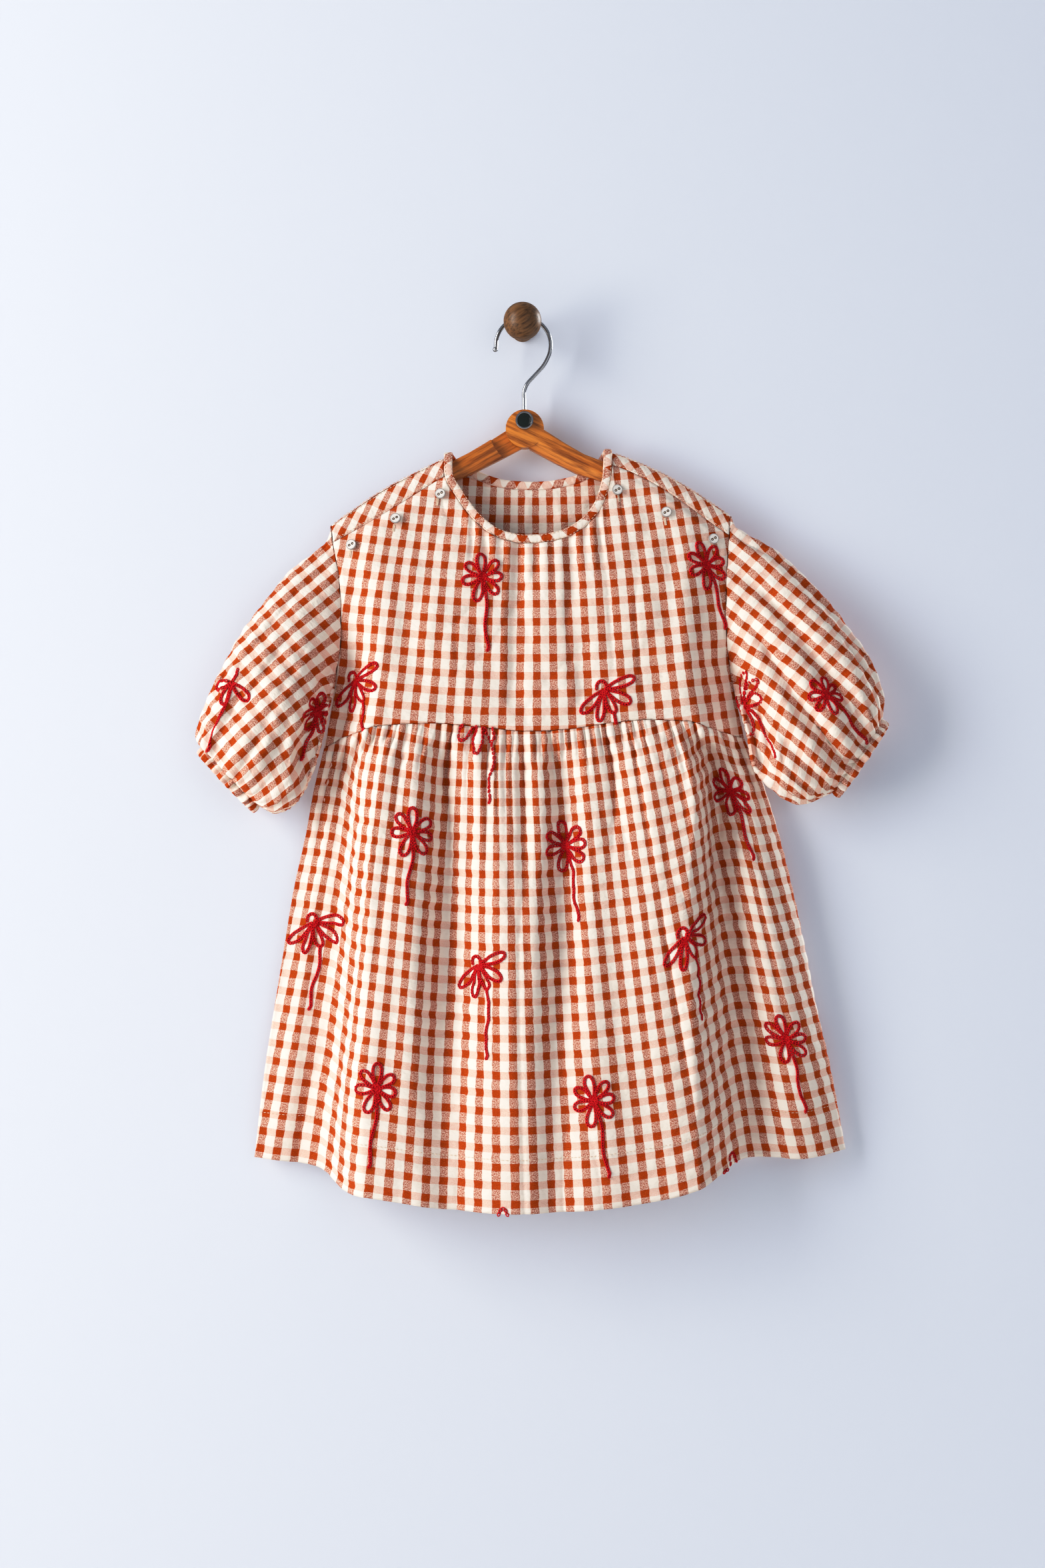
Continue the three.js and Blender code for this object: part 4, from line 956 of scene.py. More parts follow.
@dataclass(frozen=True)
class Shell:
    """Button cut from trochus shell and tumbled smooth, greyer at its rim, with painted shade round its
    holes.
    """

    name: str = "shell_polished"
    pale: str = "#F4F1ED"
    cloudy: str = "#DAD5CF"
    rim: str = "#8E8B89"
    # Colour of the painted shade round the holes
    sunk: str = "#3A3431"
    radius: float = 3.9
    hole: float = 0.75
    hole_apart: float = 1.35

    def build(self) -> Material:
        """Makes the material; its UV map holds the place on the button's face in metres.

        Returns:
            The material.
        """
        material, tree = new_material(self.name)
        face = add_node(tree, "ShaderNodeUVMap", uv_map="UVMap")
        cloud = add_node(tree, "ShaderNodeTexNoise", {"Vector": face, "Scale": 420.0, "Detail": 3.0})
        colour = blend(tree, cloud, self.cloudy, self.pale)
        out = add_node(tree, "ShaderNodeVectorMath", {0: face}, operation="LENGTH").outputs[1]
        edge = add_node(tree, "ShaderNodeMapRange", {
            0: out, 1: (self.radius - 1.0) * MM, 2: (self.radius - 0.3) * MM, 3: 0.0, 4: 0.8,
        }, interpolation_type="SMOOTHSTEP")
        # Painted shade round the two holes, fading out 0.45 mm beyond their edges.
        mirrored = add_node(tree, "ShaderNodeVectorMath", {0: face}, operation="ABSOLUTE")
        from_hole = add_node(tree, "ShaderNodeVectorMath", {
            0: mirrored, 1: (self.hole_apart * MM, 0.0, 0.0),
        }, operation="SUBTRACT")
        near = add_node(tree, "ShaderNodeVectorMath", {0: from_hole}, operation="LENGTH").outputs[1]
        hole_shade_mask = add_node(tree, "ShaderNodeMapRange", {
            0: near, 1: (self.hole + 0.05) * MM, 2: (self.hole + 0.45) * MM, 3: 1.0, 4: 0.0,
        }, interpolation_type="SMOOTHSTEP")
        colour = blend(tree, edge, colour, self.rim)
        # Painted shade, nearly black, round the holes.
        colour = blend(tree, hole_shade_mask, colour, self.sunk)
        finish_surface(tree, {"Base Color": colour, "Roughness": 0.22, "Coat Weight": 0.3})
        return material


# Cloth pieces


@dataclass
class Bodice:
    """Front or back of the bodice, from the shoulders and neck to the waist seam."""

    face: Face
    columns: int = 150
    rows: int = 84
    shoulder_columns: dict[Face, tuple[int, int]] = field(
        default_factory=lambda: {Face.FRONT: (5, 38), Face.BACK: (4, 19)}
    )
    neck_gathers: int = 10
    neck_gather_height: float = 1.1
    warp_centre: tuple[float, float] = (5, 620)
    warp_radius: float = 850
    warp_start: float = 625
    pucker_height: float = 0.4

    def top(self, across: np.ndarray) -> tuple[np.ndarray, np.ndarray, np.ndarray]:
        """Top edge: up one shoulder seam, round the neck and down the other; x, z and place on the neck.

        Args:
            across: Places from the left end, 0, to the right, 1.

        Returns:
            x and z in mm, and the place along the neck, 0 to 1.
        """
        left, right = (PlaneCurve(SEAMS[side, self.face]) for side in Side)
        neck = NeckBinding(self.face)
        shoulder, columns = self.shoulder_columns[self.face]
        place = across * columns
        part = np.clip((place - shoulder) / (columns - 2 * shoulder), 0, 1)
        drop = np.array([0, -1.2 * GAP])
        on_left = left.at(np.clip(1 - place / shoulder, 0, 1)) + drop
        on_right = right.at(np.clip((place - columns + shoulder) / shoulder, 0, 1)) + drop
        on_neck = neck.curve.beside(mix(neck.first, neck.last, part), BINDING_WIDTH + 1.3 * GAP)
        is_left, is_right = (place < shoulder)[..., None], (place > columns - shoulder)[..., None]
        edge = np.where(is_left, on_left, np.where(is_right, on_right, on_neck))
        return edge[..., 0], edge[..., 1], np.where(is_left | is_right, 0, part[..., None])[..., 0]

    def grid(self) -> ClothGrid:
        """Middle surface of the panel.

        Returns:
            The surface.
        """
        u, v = np.meshgrid(np.linspace(0, 1, self.columns + 1), np.linspace(0, 1, self.rows + 1))
        top_x, top_z, on_neck = self.top(u[0])
        low = waist_seam(u)
        low_z = low["z"] + GAP / 2
        side = {}
        for k, key in ((0, "left"), (-1, "right")):
            z = mix(top_z[k], low_z[0, k], v)
            x = np.where(v >= 1, low["x"][0, k], BODICE_SIDES.at(key, z))
            side[key] = {"x": x, "z": z}

        def coons(top: np.ndarray, bottom: np.ndarray, key: str) -> np.ndarray:
            """Coordinate named by key between the top edge, the bottom rows and both sides."""
            corners = mix(mix(top[0], top[-1], u), mix(bottom[0, 0], bottom[0, -1], u), v)
            return mix(top[None, :], bottom, v) + mix(side["left"][key], side["right"][key], u) - corners

        x, z = coons(top_x, low["x"], "x"), coons(top_z, low_z, "z")
        front = self.face is Face.FRONT
        y = mix(bodice_depth(self.face, x, z), low[self.face.key], ease(0.75, 1, v))
        if front:
            # Gathers lie between steps 4 and 24 of the 28 that divide the front of the neck.
            gathered = on_neck[None, :] * 28
            fade = ease(4, 6, gathered) * (1 - ease(22, 24, gathered)) * (1 - ease(0.04, 0.42, v))
            y = y + self.neck_gather_height * fade * np.cos(np.pi * (gathered - 4) * self.neck_gathers / 10)
            # The buttoned edge lies down on the shoulder bands.
            on_shoulder, in_all = self.shoulder_columns[self.face]
            shoulder = on_shoulder / in_all
            buttoned = 1 - ease(0.9 * shoulder, 1.1 * shoulder, np.minimum(u, 1 - u))
            y = mix(y, RIDGE_DEPTH - RIDGE_HALF, buttoned * (1 - ease(0, 0.05, v)))
        points = np.stack([x, y, z], -1)
        run = np.hypot(np.diff(x, axis=1), np.diff(y, axis=1))
        reach = np.concatenate([np.zeros((len(x), 1)), np.cumsum(run, axis=1)], axis=1)
        reach = mix(reach - reach[:, [self.columns // 2]] + x[:, [self.columns // 2]], x, 0.6)
        turn, drop = fan(x, z, self.warp_centre, self.warp_radius)
        cloth = np.stack([turn + reach - x, drop - self.warp_start], -1)
        grid = ClothGrid(points, cloth, outward=np.array([0, self.face.value, 0]))
        creases = noise(reach / 19 + z / 70, z / 46, 11) + 0.5 * noise(reach / 9 - z / 50, z / 30, 12)
        sharp = wrinkles(reach / 17 + z / 160, z / 60, 13) + 0.8 * wrinkles(reach / 30 - z / 45, z / 40, 14)
        # Nothing at the sides, so that seams stay joined.
        calm = ease(0, 0.1, v) * (1 - ease(0.93, 1, v)) * between(0.05, u)
        grid.push((1.7 * (creases - 0.75) - 1.1 * sharp) * calm)
        grid.pucker(self.pucker_height, 21 if front else 22)
        return grid


@dataclass
class Skirt:
    """Front or back of the gathered skirt, from the waist seam to the hem."""

    face: Face
    cut_length: float = 352.0
    gathers: int = 27
    gather_height: float = 6.2
    pucker_height: float = 0.6
    warp_centre: tuple[float, float] = (-20, 270)
    warp_radius: float = 700

    @property
    def columns(self) -> int:
        """Steps across, finer on the front."""
        return 300 if self.face is Face.FRONT else 200

    @property
    def rows(self) -> int:
        """Steps down, finer on the front."""
        return 152 if self.face is Face.FRONT else 114

    def place(self, across: Values, down: Values) -> np.ndarray:
        """Where the cloth's place across lies between the side edges, 0 to 1.

        Args:
            across: Place across the cloth.
            down: Place from waist to hem.

        Returns:
            Places between the side edges.
        """
        left, right = TURN_PLACES.at("left", down), TURN_PLACES.at("right", down)
        middle = 0.5 + 0.35 * (left - TURNS["left"] + right - TURNS["right"])
        keys = (0.0, TURNS["left"], 0.5, TURNS["right"], 1.0)
        values = (np.zeros_like(left), left, middle, right, np.ones_like(left))
        slopes = [(b - a) / (q - p) for a, b, p, q in zip(values, values[1:], keys, keys[1:])]
        tangents = [slopes[0], *(2 * a * b / (a + b) for a, b in zip(slopes, slopes[1:])), slopes[-1]]
        result = np.zeros_like(np.asarray(across, float) + left)
        for i, (start, end) in enumerate(zip(keys, keys[1:])):
            part = np.clip((across - start) / (end - start), 0, 1)
            value = hermite(part, end - start, values[i : i + 2], tangents[i : i + 2])
            result = np.where((across >= start) & (across <= end), value, result)
        return result

    def front_depth(self, across: Values, down: Values) -> np.ndarray:
        """Depth of the front before its gathers: flat flaps at the sides, a full middle with folds.

        Args:
            across: Place across the cloth.
            down: Place from waist to hem.

        Returns:
            Depths in mm.
        """
        left_half, right_half = SKIRT_SWELL.at("left_half", down), SKIRT_SWELL.at("right_half", down)
        swell, flap = SKIRT_SWELL.at("swell", down), SKIRT_SWELL.at("flap", down)
        waist = between(FRONT_TURN, across)
        rise = ease(0, 1, (across - TURNS["left"] + left_half) / (2 * left_half))
        fall = 1 - ease(0, 1, (across - TURNS["right"] + right_half) / (2 * right_half))
        plateau = mix(waist, rise * fall, ease(0, 0.07, down))
        crown = 1 - 0.22 * ((across - 0.5) / 0.4) ** 2 * ease(0.1, 0.6, down)
        left_flap = np.where(across < 0.5, 0.8 * flap * ease(0, 0.05, across) * (1 - plateau), 0)
        start = TURNS["right"] + right_half
        right_flap = 1.8 * flap * np.sin(np.pi * np.clip((across - start) / (1 - start), 0, 1))
        y = SEAM_DEPTH - LAYER - swell * plateau * crown - left_flap - right_flap
        width = SKIRT_SIDES.at("right", down) - SKIRT_SIDES.at("left", down)
        place = self.place(across, down)
        for at_waist, at_hem, top, middle, bottom, steep, easy in SKIRT_FOLDS:
            line = mix(at_waist, at_hem, down)
            upper = mix(top, middle, ease(0, 0.45, down))
            depth = np.where(down < 0.45, upper, mix(middle, bottom, ease(0.45, 1, down)))
            spread = 1 + 0.5 * down
            distance = (place - self.place(line, down)) * width
            y = y + depth * ease(0, 0.1, down) * fold(distance / spread, steep, easy)
        return y

    def back_depth(self, across: Values, down: Values) -> np.ndarray:
        """Depth of the back, which lies near the wall in shallow folds.

        Args:
            across: Place across the cloth.
            down: Place from waist to hem.

        Returns:
            Depths in mm.
        """
        inside = ease(0.1, 0.24, across) * (1 - ease(0.72, 0.84, across))
        width = SKIRT_SIDES.at("right", down) - SKIRT_SIDES.at("left", down)
        y = mix(SEAM_DEPTH + LAYER, BACK_REST, between(BACK_TURN, across))
        for at_waist, at_hem, _, middle, bottom, _, easy in SKIRT_FOLDS:
            line = 1 - mix(at_waist, at_hem, down)
            depth = 0.6 * mix(middle, bottom, ease(0.3, 1, down))
            distance = (across - line) * width
            y = y - depth * inside * ease(0.02, 0.2, down) * fold(distance, easy, easy)
        return y

    def spread(self, x: np.ndarray, y: np.ndarray, z: np.ndarray) -> tuple[np.ndarray, np.ndarray]:
        """Places on the cut cloth: the warp fans out downward, and the weft lies level with the hem.

        Args:
            x: Places across in mm.
            y: Depths in mm.
            z: Heights in mm.

        Returns:
            Distances across and down the cloth.
        """
        rows, columns = x.shape
        used = slice(rows // 3, -rows // 10)
        run = np.hypot(np.diff(x, axis=1), 0.65 * np.diff(y, axis=1))[used].mean(axis=0)
        across = np.concatenate([[0], np.cumsum(run)])
        turn, drop = fan(x, z, self.warp_centre, self.warp_radius)
        return across - across[columns // 2] + turn - turn[used].mean(axis=0), drop - drop[-1]

    def gather_wave(self, u: np.ndarray, v: np.ndarray) -> np.ndarray:
        """Creases between uneven gathers below the waist seam, each with its own length, lean and depth.

        Args:
            u: Places across the cloth.
            v: Places from waist to hem.

        Returns:
            Heights of the creases, 1 for a full one.
        """
        total = 0.0
        kinds = (self.gathers, 31, 0.5, 1.0), (2.2 * self.gathers, 35, 0.16, 0.5)
        for count, seed, longest, depth in kinds:
            turn = u * count + 1.4 * (noise(u * 9, 0.5, seed) - 0.5)
            which = np.floor(turn)
            reach = mix(0.05, longest, chance(which, seed) ** 2.2)
            lean = (chance(which, seed + 1) - 0.5) * v / reach * 0.5
            phase = turn - which - 0.5 - 0.35 * (chance(which, seed + 2) - 0.5) - lean
            wide = mix(0.13, 0.24, chance(which, seed + 3)) * (1 + 0.8 * np.clip(v / reach, 0, 1))
            fade = (1 - ease(0, 1, v / reach)) * mix(0.25, 1.25, chance(which, seed + 4))
            crease = depth * fade * np.exp(-(np.abs(phase / wide) ** 1.5))
            total = total + crease * (1 - ease(0.4, 0.5, np.abs(phase)))
        return total * between(0.03, u)

    def grid(self) -> ClothGrid:
        """Middle surface of the panel.

        Returns:
            The surface.
        """
        front = self.face is Face.FRONT
        u, v = np.meshgrid(np.linspace(0, 1, self.columns + 1), np.linspace(0, 1, self.rows + 1))
        high = waist_seam(u)
        place = self.place(u, v) if front else u
        left, right = SKIRT_SIDES.at("left", v), SKIRT_SIDES.at("right", v)
        x = np.where(v == 0, high["x"], mix(left, right, place))
        hem = HEM_LINE.at(self.face.key, place)
        z = mix(high["z"] - GAP / 2, hem, v)
        depth = self.front_depth(u, v) if front else self.back_depth(u, v)
        y = mix(high[self.face.key], depth, ease(0, 0.06, v))
        across, down = self.spread(x, y, z)
        crease = self.gather_wave(u, v) * mix(0.4, 1, ease(0, 0.04, v))
        y = y - self.face.value * self.gather_height * (crease - 0.2 * (1 - ease(0, 0.3, v)))
        limit = SEAM_DEPTH + self.face.value * LAYER
        y = np.minimum(y, limit) if front else np.maximum(y, limit)
        cloth = np.stack([across, down], -1)
        grid = ClothGrid(np.stack([x, y, z], -1), cloth, outward=np.array([0, self.face.value, 0]))
        calm = between(0.03, u) * ease(0, 0.08, v)
        pleats = noise(across / 15 + 0.2 * noise(down / 60, 0, 41), down / 120, 42) - 0.5
        drape = noise(across / 34 + down / 260, down / 170, 43) - 0.5
        sharp = wrinkles(across / 23, down / 150, 46) + 0.7 * wrinkles(across / 12, down / 60, 47) * (1 - v)
        soft = 2.4 * pleats * mix(1, 0.6, v) + 2.6 * drape * (1 if front else 0.5)
        grid.push((soft - 1.5 * sharp) * calm)
        grid.pucker(self.pucker_height, 44 if front else 45, edge=0.6)
        return grid


def edge_depth(side: Side, face: Face, z: Values) -> np.ndarray:
    """Depth of a bodice panel's edge along the armhole and over the shoulder.

    Args:
        side: Side of the dress.
        face: Front or back panel.
        z: Height in mm.

    Returns:
        Depths in mm.
    """
    ridge, seam = RIDGES[side][-1][1], SEAMS[side, Face.FRONT][-1][1]
    return np.where(z > seam, shoulder_depth(z, ridge, seam, face.value), BODICE_DEPTHS.at(face.key, z))


@dataclass
class Sleeve:
    """Puff sleeve, gathered into a narrow elastic cuff."""

    side: Side
    columns: int = 176
    rows: int = 84
    cuff_gathers: int = 24
    cuff_gather_height: float = 1.9
    armhole_gap: float = 0.7
    pucker_height: float = 0.4
    grain_angle: float = math.radians(41)
    bend_start: dict[Side, float] = field(default_factory=lambda: {Side.LEFT: -23.4, Side.RIGHT: 18.4})

    def point(self, ring: Values, down: Values, extra: Values = 0.0) -> np.ndarray:
        """Point of the sleeve: ring 0 is the outer edge, a quarter the front, a half the inner edge.

        Args:
            ring: Place round the sleeve.
            down: Place from armhole, 0, to cuff, 1.
            extra: Distance that the wall is moved outward.

        Returns:
            Points in mm.
        """
        row = {name: SLEEVES[self.side].at(name, down) for name in SLEEVE_COLUMNS.split()[1:]}
        part = (1 - np.cos(2 * np.pi * ring)) / 2
        is_front = np.mod(ring, 1) < 0.5
        z = mix(row["outer_z"], row["inner_z"], part)
        armhole = BODICE_SIDES.at(self.side.key, z) + self.side.value * self.armhole_gap
        opened = ease(0, 0.3, down)
        x = mix(armhole, mix(row["outer_x"], row["inner_x"], part), opened)
        round_ = np.abs(np.sin(2 * np.pi * ring))
        half = row["half"] * round_
        width, drop = SLEEVE_VALLEY.at("width", down), SLEEVE_VALLEY.at("drop", down)
        valley = 1 - drop * ease(0, 1, (part - 1 + width + 0.06) / 0.06)
        crease = np.zeros_like(half)
        for start_at, end_at, start, depth, wide in SLEEVE_FOLDS[self.side]:
            strength = depth * ease(start, start + 0.25, down) * (1 - 0.5 * ease(0.9, 1, down))
            line = mix(start_at, end_at, down)
            crease = crease + strength * fold(part - line, wide * 0.8, wide * 1.3) * round_
        half = np.where(is_front, half * valley - crease, half)
        tube = row["depth"] + np.where(is_front, -half, half)
        front, back = (edge_depth(self.side, face, z) for face in Face)
        y = mix(np.where(is_front, front, back), tube, opened)
        waves = self.cuff_gather_height * ease(0.55, 0.95, down) * self.gather_wave(ring, down)
        swell = waves + extra
        to_outer = np.stack([row["outer_x"] - row["inner_x"], row["outer_z"] - row["inner_z"]], -1)
        to_outer = to_outer / np.linalg.norm(to_outer, axis=-1, keepdims=True)
        cosine = np.cos(2 * np.pi * ring)
        x = x + to_outer[..., 0] * cosine * swell
        y = y + np.where(is_front, -round_, round_) * swell
        z = z + to_outer[..., 1] * cosine * swell
        return np.stack([x, y, z], -1)

    def gather_wave(self, ring: Values, down: Values) -> np.ndarray:
        """Gathers of the cuff, running up into the sleeve unevenly.

        Args:
            ring: Place round the sleeve.
            down: Place from armhole to cuff.

        Returns:
            Heights of the gathers, about 1.
        """
        turn = 2 * np.pi * ring
        uneven = noise(5 + 4 * np.cos(turn), 5 + 4 * np.sin(turn), 51)
        near = np.cos(self.cuff_gathers * turn + 5 * uneven)
        far = np.cos(self.cuff_gathers // 2 * turn + 0.8 + 4 * uneven)
        loose = 1 - ease(0.7, 1, down)
        return (near * (1 - 0.6 * loose) + 1.5 * far * loose) * (0.5 + uneven)

    def grain(self, points: np.ndarray) -> np.ndarray:
        """Place on the cloth, unrolled from the middle of the front, with the grain on the slant.

        Args:
            points: Points of the sleeve in rows.

        Returns:
            Distances across and down the cloth.
        """
        step = np.linalg.norm(np.diff(points, axis=1) * (1, 0.6, 1), axis=-1)
        reach = np.concatenate([np.zeros((len(step), 1)), np.cumsum(step, axis=1)], axis=1)
        middle = 3 * (points.shape[1] - 1) // 4
        inward = points[:, -1] - points[:, (points.shape[1] - 1) // 2]
        inward = (inward / np.linalg.norm(inward, axis=-1, keepdims=True))[:, None]
        ahead = np.sum((points - points[:, middle : middle + 1]) * inward, axis=-1)
        flat = points + inward * (reach - reach[:, middle : middle + 1] - ahead)[..., None]
        way = self.side.value
        x, z = flat[..., 0] * way, flat[..., 2]
        cosine, sine = math.cos(self.grain_angle), math.sin(self.grain_angle)
        # Near the cuff and under the arm the weft sags towards level.
        past = np.maximum(-0.8 * x - 0.6 * z + self.bend_start[self.side], 0)
        sag = 0.005 * np.minimum(past, 55) ** 2 + 0.55 * np.maximum(past - 55, 0)
        return np.stack([1.08 * (sine * x + cosine * z), way * (cosine * x - sine * z - sag)], -1)

    def grid(self) -> ClothGrid:
        """Middle surface of the sleeve, from its inner edge round the back and the front.

        Returns:
            The surface.
        """
        ring, down = np.meshgrid(np.linspace(0.5, 1.5, self.columns + 1), np.linspace(0, 1, self.rows + 1))
        points = self.point(ring, down)
        points[:, -1] = points[:, 0]
        grid = ClothGrid(points, self.grain(points), closed=True)
        calm = ease(0, 0.2, down) * (1 - 0.5 * ease(0.9, 1, down))
        # The creases are drawn on a circle, so that they meet at the seam of the tube.
        across, up, way = np.cos(2 * np.pi * ring), np.sin(2 * np.pi * ring), self.side.value
        loop = noise(3 + 2.6 * across + down, 3 + 2.6 * up, 52 + way)
        fine = noise(9 + 6.5 * across, 9 + 6.5 * up + 1.5 * down, 55 + way)
        sharp = wrinkles(7 + 4.2 * across - down, 7 + 4.2 * up + 2 * down, 58 + way)
        low = mix(0.45, 1, ease(0.35, 0.8, down))
        grid.push((4.2 * (loop - 0.5) + (2.4 * (fine - 0.5) - 1.6 * sharp) * low) * calm)
        grid.pucker(self.pucker_height, 57)
        grid.points[:, -1] = grid.points[:, 0]
        return grid


@dataclass
class Cuff:
    """Narrow elastic casing at the end of a sleeve, in its gathers."""

    side: Side
    columns: int = 240
    rows: int = 12
    ruffles: int = 29

    def away(self) -> np.ndarray:
        """Direction in which the cuff faces.

        Returns:
            Direction of length 1.
        """
        last = dict(zip(SLEEVE_COLUMNS.split(), SLEEVES[self.side].rows[-1]))
        line = np.array([last["outer_x"] - last["inner_x"], 0, last["outer_z"] - last["inner_z"]])
        line = line / np.linalg.norm(line)
        away = np.array([-line[2], 0, line[0]])
        return away if away[0] * self.side.value > 0 else -away

    def grid(self) -> ClothGrid:
        """Middle surface of the casing, pinched at both of its stitched edges.

        Returns:
            The surface.
        """
        ring, v = np.meshgrid(np.linspace(0.5, 1.5, self.columns + 1), np.linspace(0, 1, self.rows + 1))
        sleeve = Sleeve(self.side)
        puff = 1.3 * np.sin(np.pi * v) ** 0.6 - 0.7 + 0.5 * v * np.cos(2 * np.pi * self.ruffles * ring)
        points = sleeve.point(ring, np.ones_like(ring), puff)
        points = points + self.away() * (GAP / 2 + v * CUFF_WIDTH)[..., None]
        points[:, -1] = points[:, 0]
        return ClothGrid(points, sleeve.grain(points), closed=True)


def bias(along: Values, across: Values) -> np.ndarray:
    """Place on cloth cut at 45 degrees, from distances along and across a strip."""
    turn = math.sqrt(0.5)
    return np.stack([(along + across) * turn, (across - along) * turn], -1)


@dataclass
class NeckBinding:
    """Bias strip folded over the edge of the neckline."""

    face: Face
    columns: int = 200
    sides: int = 16
    thickness: float = 2.4
    curve: PlaneCurve = field(init=False)
    first: float = field(init=False)
    last: float = field(init=False)

    def __post_init__(self) -> None:
        """Finds where the strip meets the shoulder seams."""
        self.curve = PlaneCurve(NECKS[self.face])
        left, right = (SEAMS[side, self.face][0][1] for side in Side)
        self.first = self.curve.part_below(BINDING_WIDTH, left, True)
        self.last = self.curve.part_below(BINDING_WIDTH, right, False)

    def depth(self, part: np.ndarray, z: np.ndarray) -> np.ndarray:
        """Depth of the strip: it follows its panel and turns over the ridge beside the shoulder bands.

        Args:
            part: Parts of the neckline's length.
            z: Heights in mm.

        Returns:
            Depths in mm.
        """
        first, last = self.first, self.last
        if self.face is Face.FRONT:
            soft = bodice_depth(Face.FRONT, np.zeros_like(z), z)
        else:
            soft = mix(-9.7, -8.4, ease(first, first + 0.2, part) * (1 - ease(last - 0.2, last, part)))
        turn = 1.0 if self.face is Face.FRONT else 0.5
        beside = np.where(part < first, 1 - part / (turn * first), 1 - (1 - part) / (turn * (1 - last)))
        around = np.sqrt(1 - np.clip(beside, 0, 1) ** 2)
        inside = (part >= first) & (part <= last)
        return np.where(inside, soft, mix(RIDGE_DEPTH + self.face.value * 1.3, soft, around))

    def grid(self) -> ClothGrid:
        """Skin of the strip, closed round its section.

        Returns:
            The surface.
        """
        part = np.linspace(0, 1, self.columns + 1)
        middle = self.curve.beside(part, np.full_like(part, BINDING_WIDTH / 2))
        y = self.depth(part, middle[:, 1])
        y[1:-1] = (y[:-2] + 2 * y[1:-1] + y[2:]) / 4
        centre = np.stack([middle[:, 0], y, middle[:, 1]], -1)
        run = self.curve.tangent(part)
        wide = np.stack([run[:, 1], np.zeros_like(y), -run[:, 0]], -1)
        along = np.gradient(centre, axis=0)
        out = np.cross(along, wide)
        out /= np.linalg.norm(out, axis=-1, keepdims=True)
        out = out * (self.face.value if out[len(out) // 2, 1] > 0 else -self.face.value)
        turn = 2 * np.pi * np.arange(self.sides + 1) / self.sides
        reach = part * self.curve.length
        pull = 1 + 0.12 * (noise(reach / 5, 0.5, 71) - 0.5)
        half_wide = BINDING_WIDTH / 2 - 0.1
        across = half_wide * np.sign(np.cos(turn)) * np.abs(np.cos(turn)) ** 0.7
        up = self.thickness / 2 * np.sign(np.sin(turn)) * np.abs(np.sin(turn)) ** 0.8
        points = (
            centre[:, None] + wide[:, None] * across[None, :, None]
            + out[:, None] * (up[None, :] * pull[:, None])[..., None]
        )
        around = half_wide * turn / math.pi * 2
        cloth = bias(reach[:, None] + 0 * around[None, :], around[None, :] + 0 * reach[:, None])
        return ClothGrid(points, cloth, closed=True)


@dataclass
class ShoulderBand:
    """Half of a bias band over an open shoulder: the front or the back of it."""

    side: Side
    face: Face
    columns: int = 26
    rows: int = 60
    front_turn: float = 1.15
    back_turn: float = 1.2

    def lines(self) -> tuple[PlaneCurve, PlaneCurve]:
        """Ridge of the shoulder, and the seam below it."""
        return PlaneCurve(RIDGES[self.side]), PlaneCurve(SEAMS[self.side, self.face])

    def grid(self) -> ClothGrid:
        """Middle surface of the band.

        Returns:
            The surface.
        """
        u, v = np.meshgrid(np.linspace(0, 1, self.columns + 1), np.linspace(0, 1, self.rows + 1))
        ridge, seam = self.lines()
        high, low = ridge.at(v), seam.at(v)
        angle = u * (self.front_turn if self.face is Face.FRONT else math.pi - self.back_turn)
        rise, run = np.sin(angle), np.cos(angle)
        y = RIDGE_DEPTH + self.face.value * RIDGE_HALF * np.sign(run) * np.abs(run) ** 0.8
        points = np.stack([mix(low[..., 0], high[..., 0], rise), y, mix(low[..., 1], high[..., 1], rise)], -1)
        step = np.linalg.norm(np.diff(points, axis=1), axis=-1)
        across = np.concatenate([np.zeros((len(step), 1)), np.cumsum(step, axis=1)], axis=1)
        way = np.array([0, self.face.value, 1.0])
        grid = ClothGrid(points, bias(v * ridge.length, across), outward=way)
        creases = 0.5 * noise(v * 9, u * 1.5, 81) + 0.3 * noise(v * 26, u * 2, 82) - 0.3
        grid.push(creases * between(0.1, v))
        return grid


# Stitches


@dataclass(frozen=True)
class StitchForm:
    """Size and section of one stitch of thread."""

    length: float
    width: float
    thread: float
    loop: bool


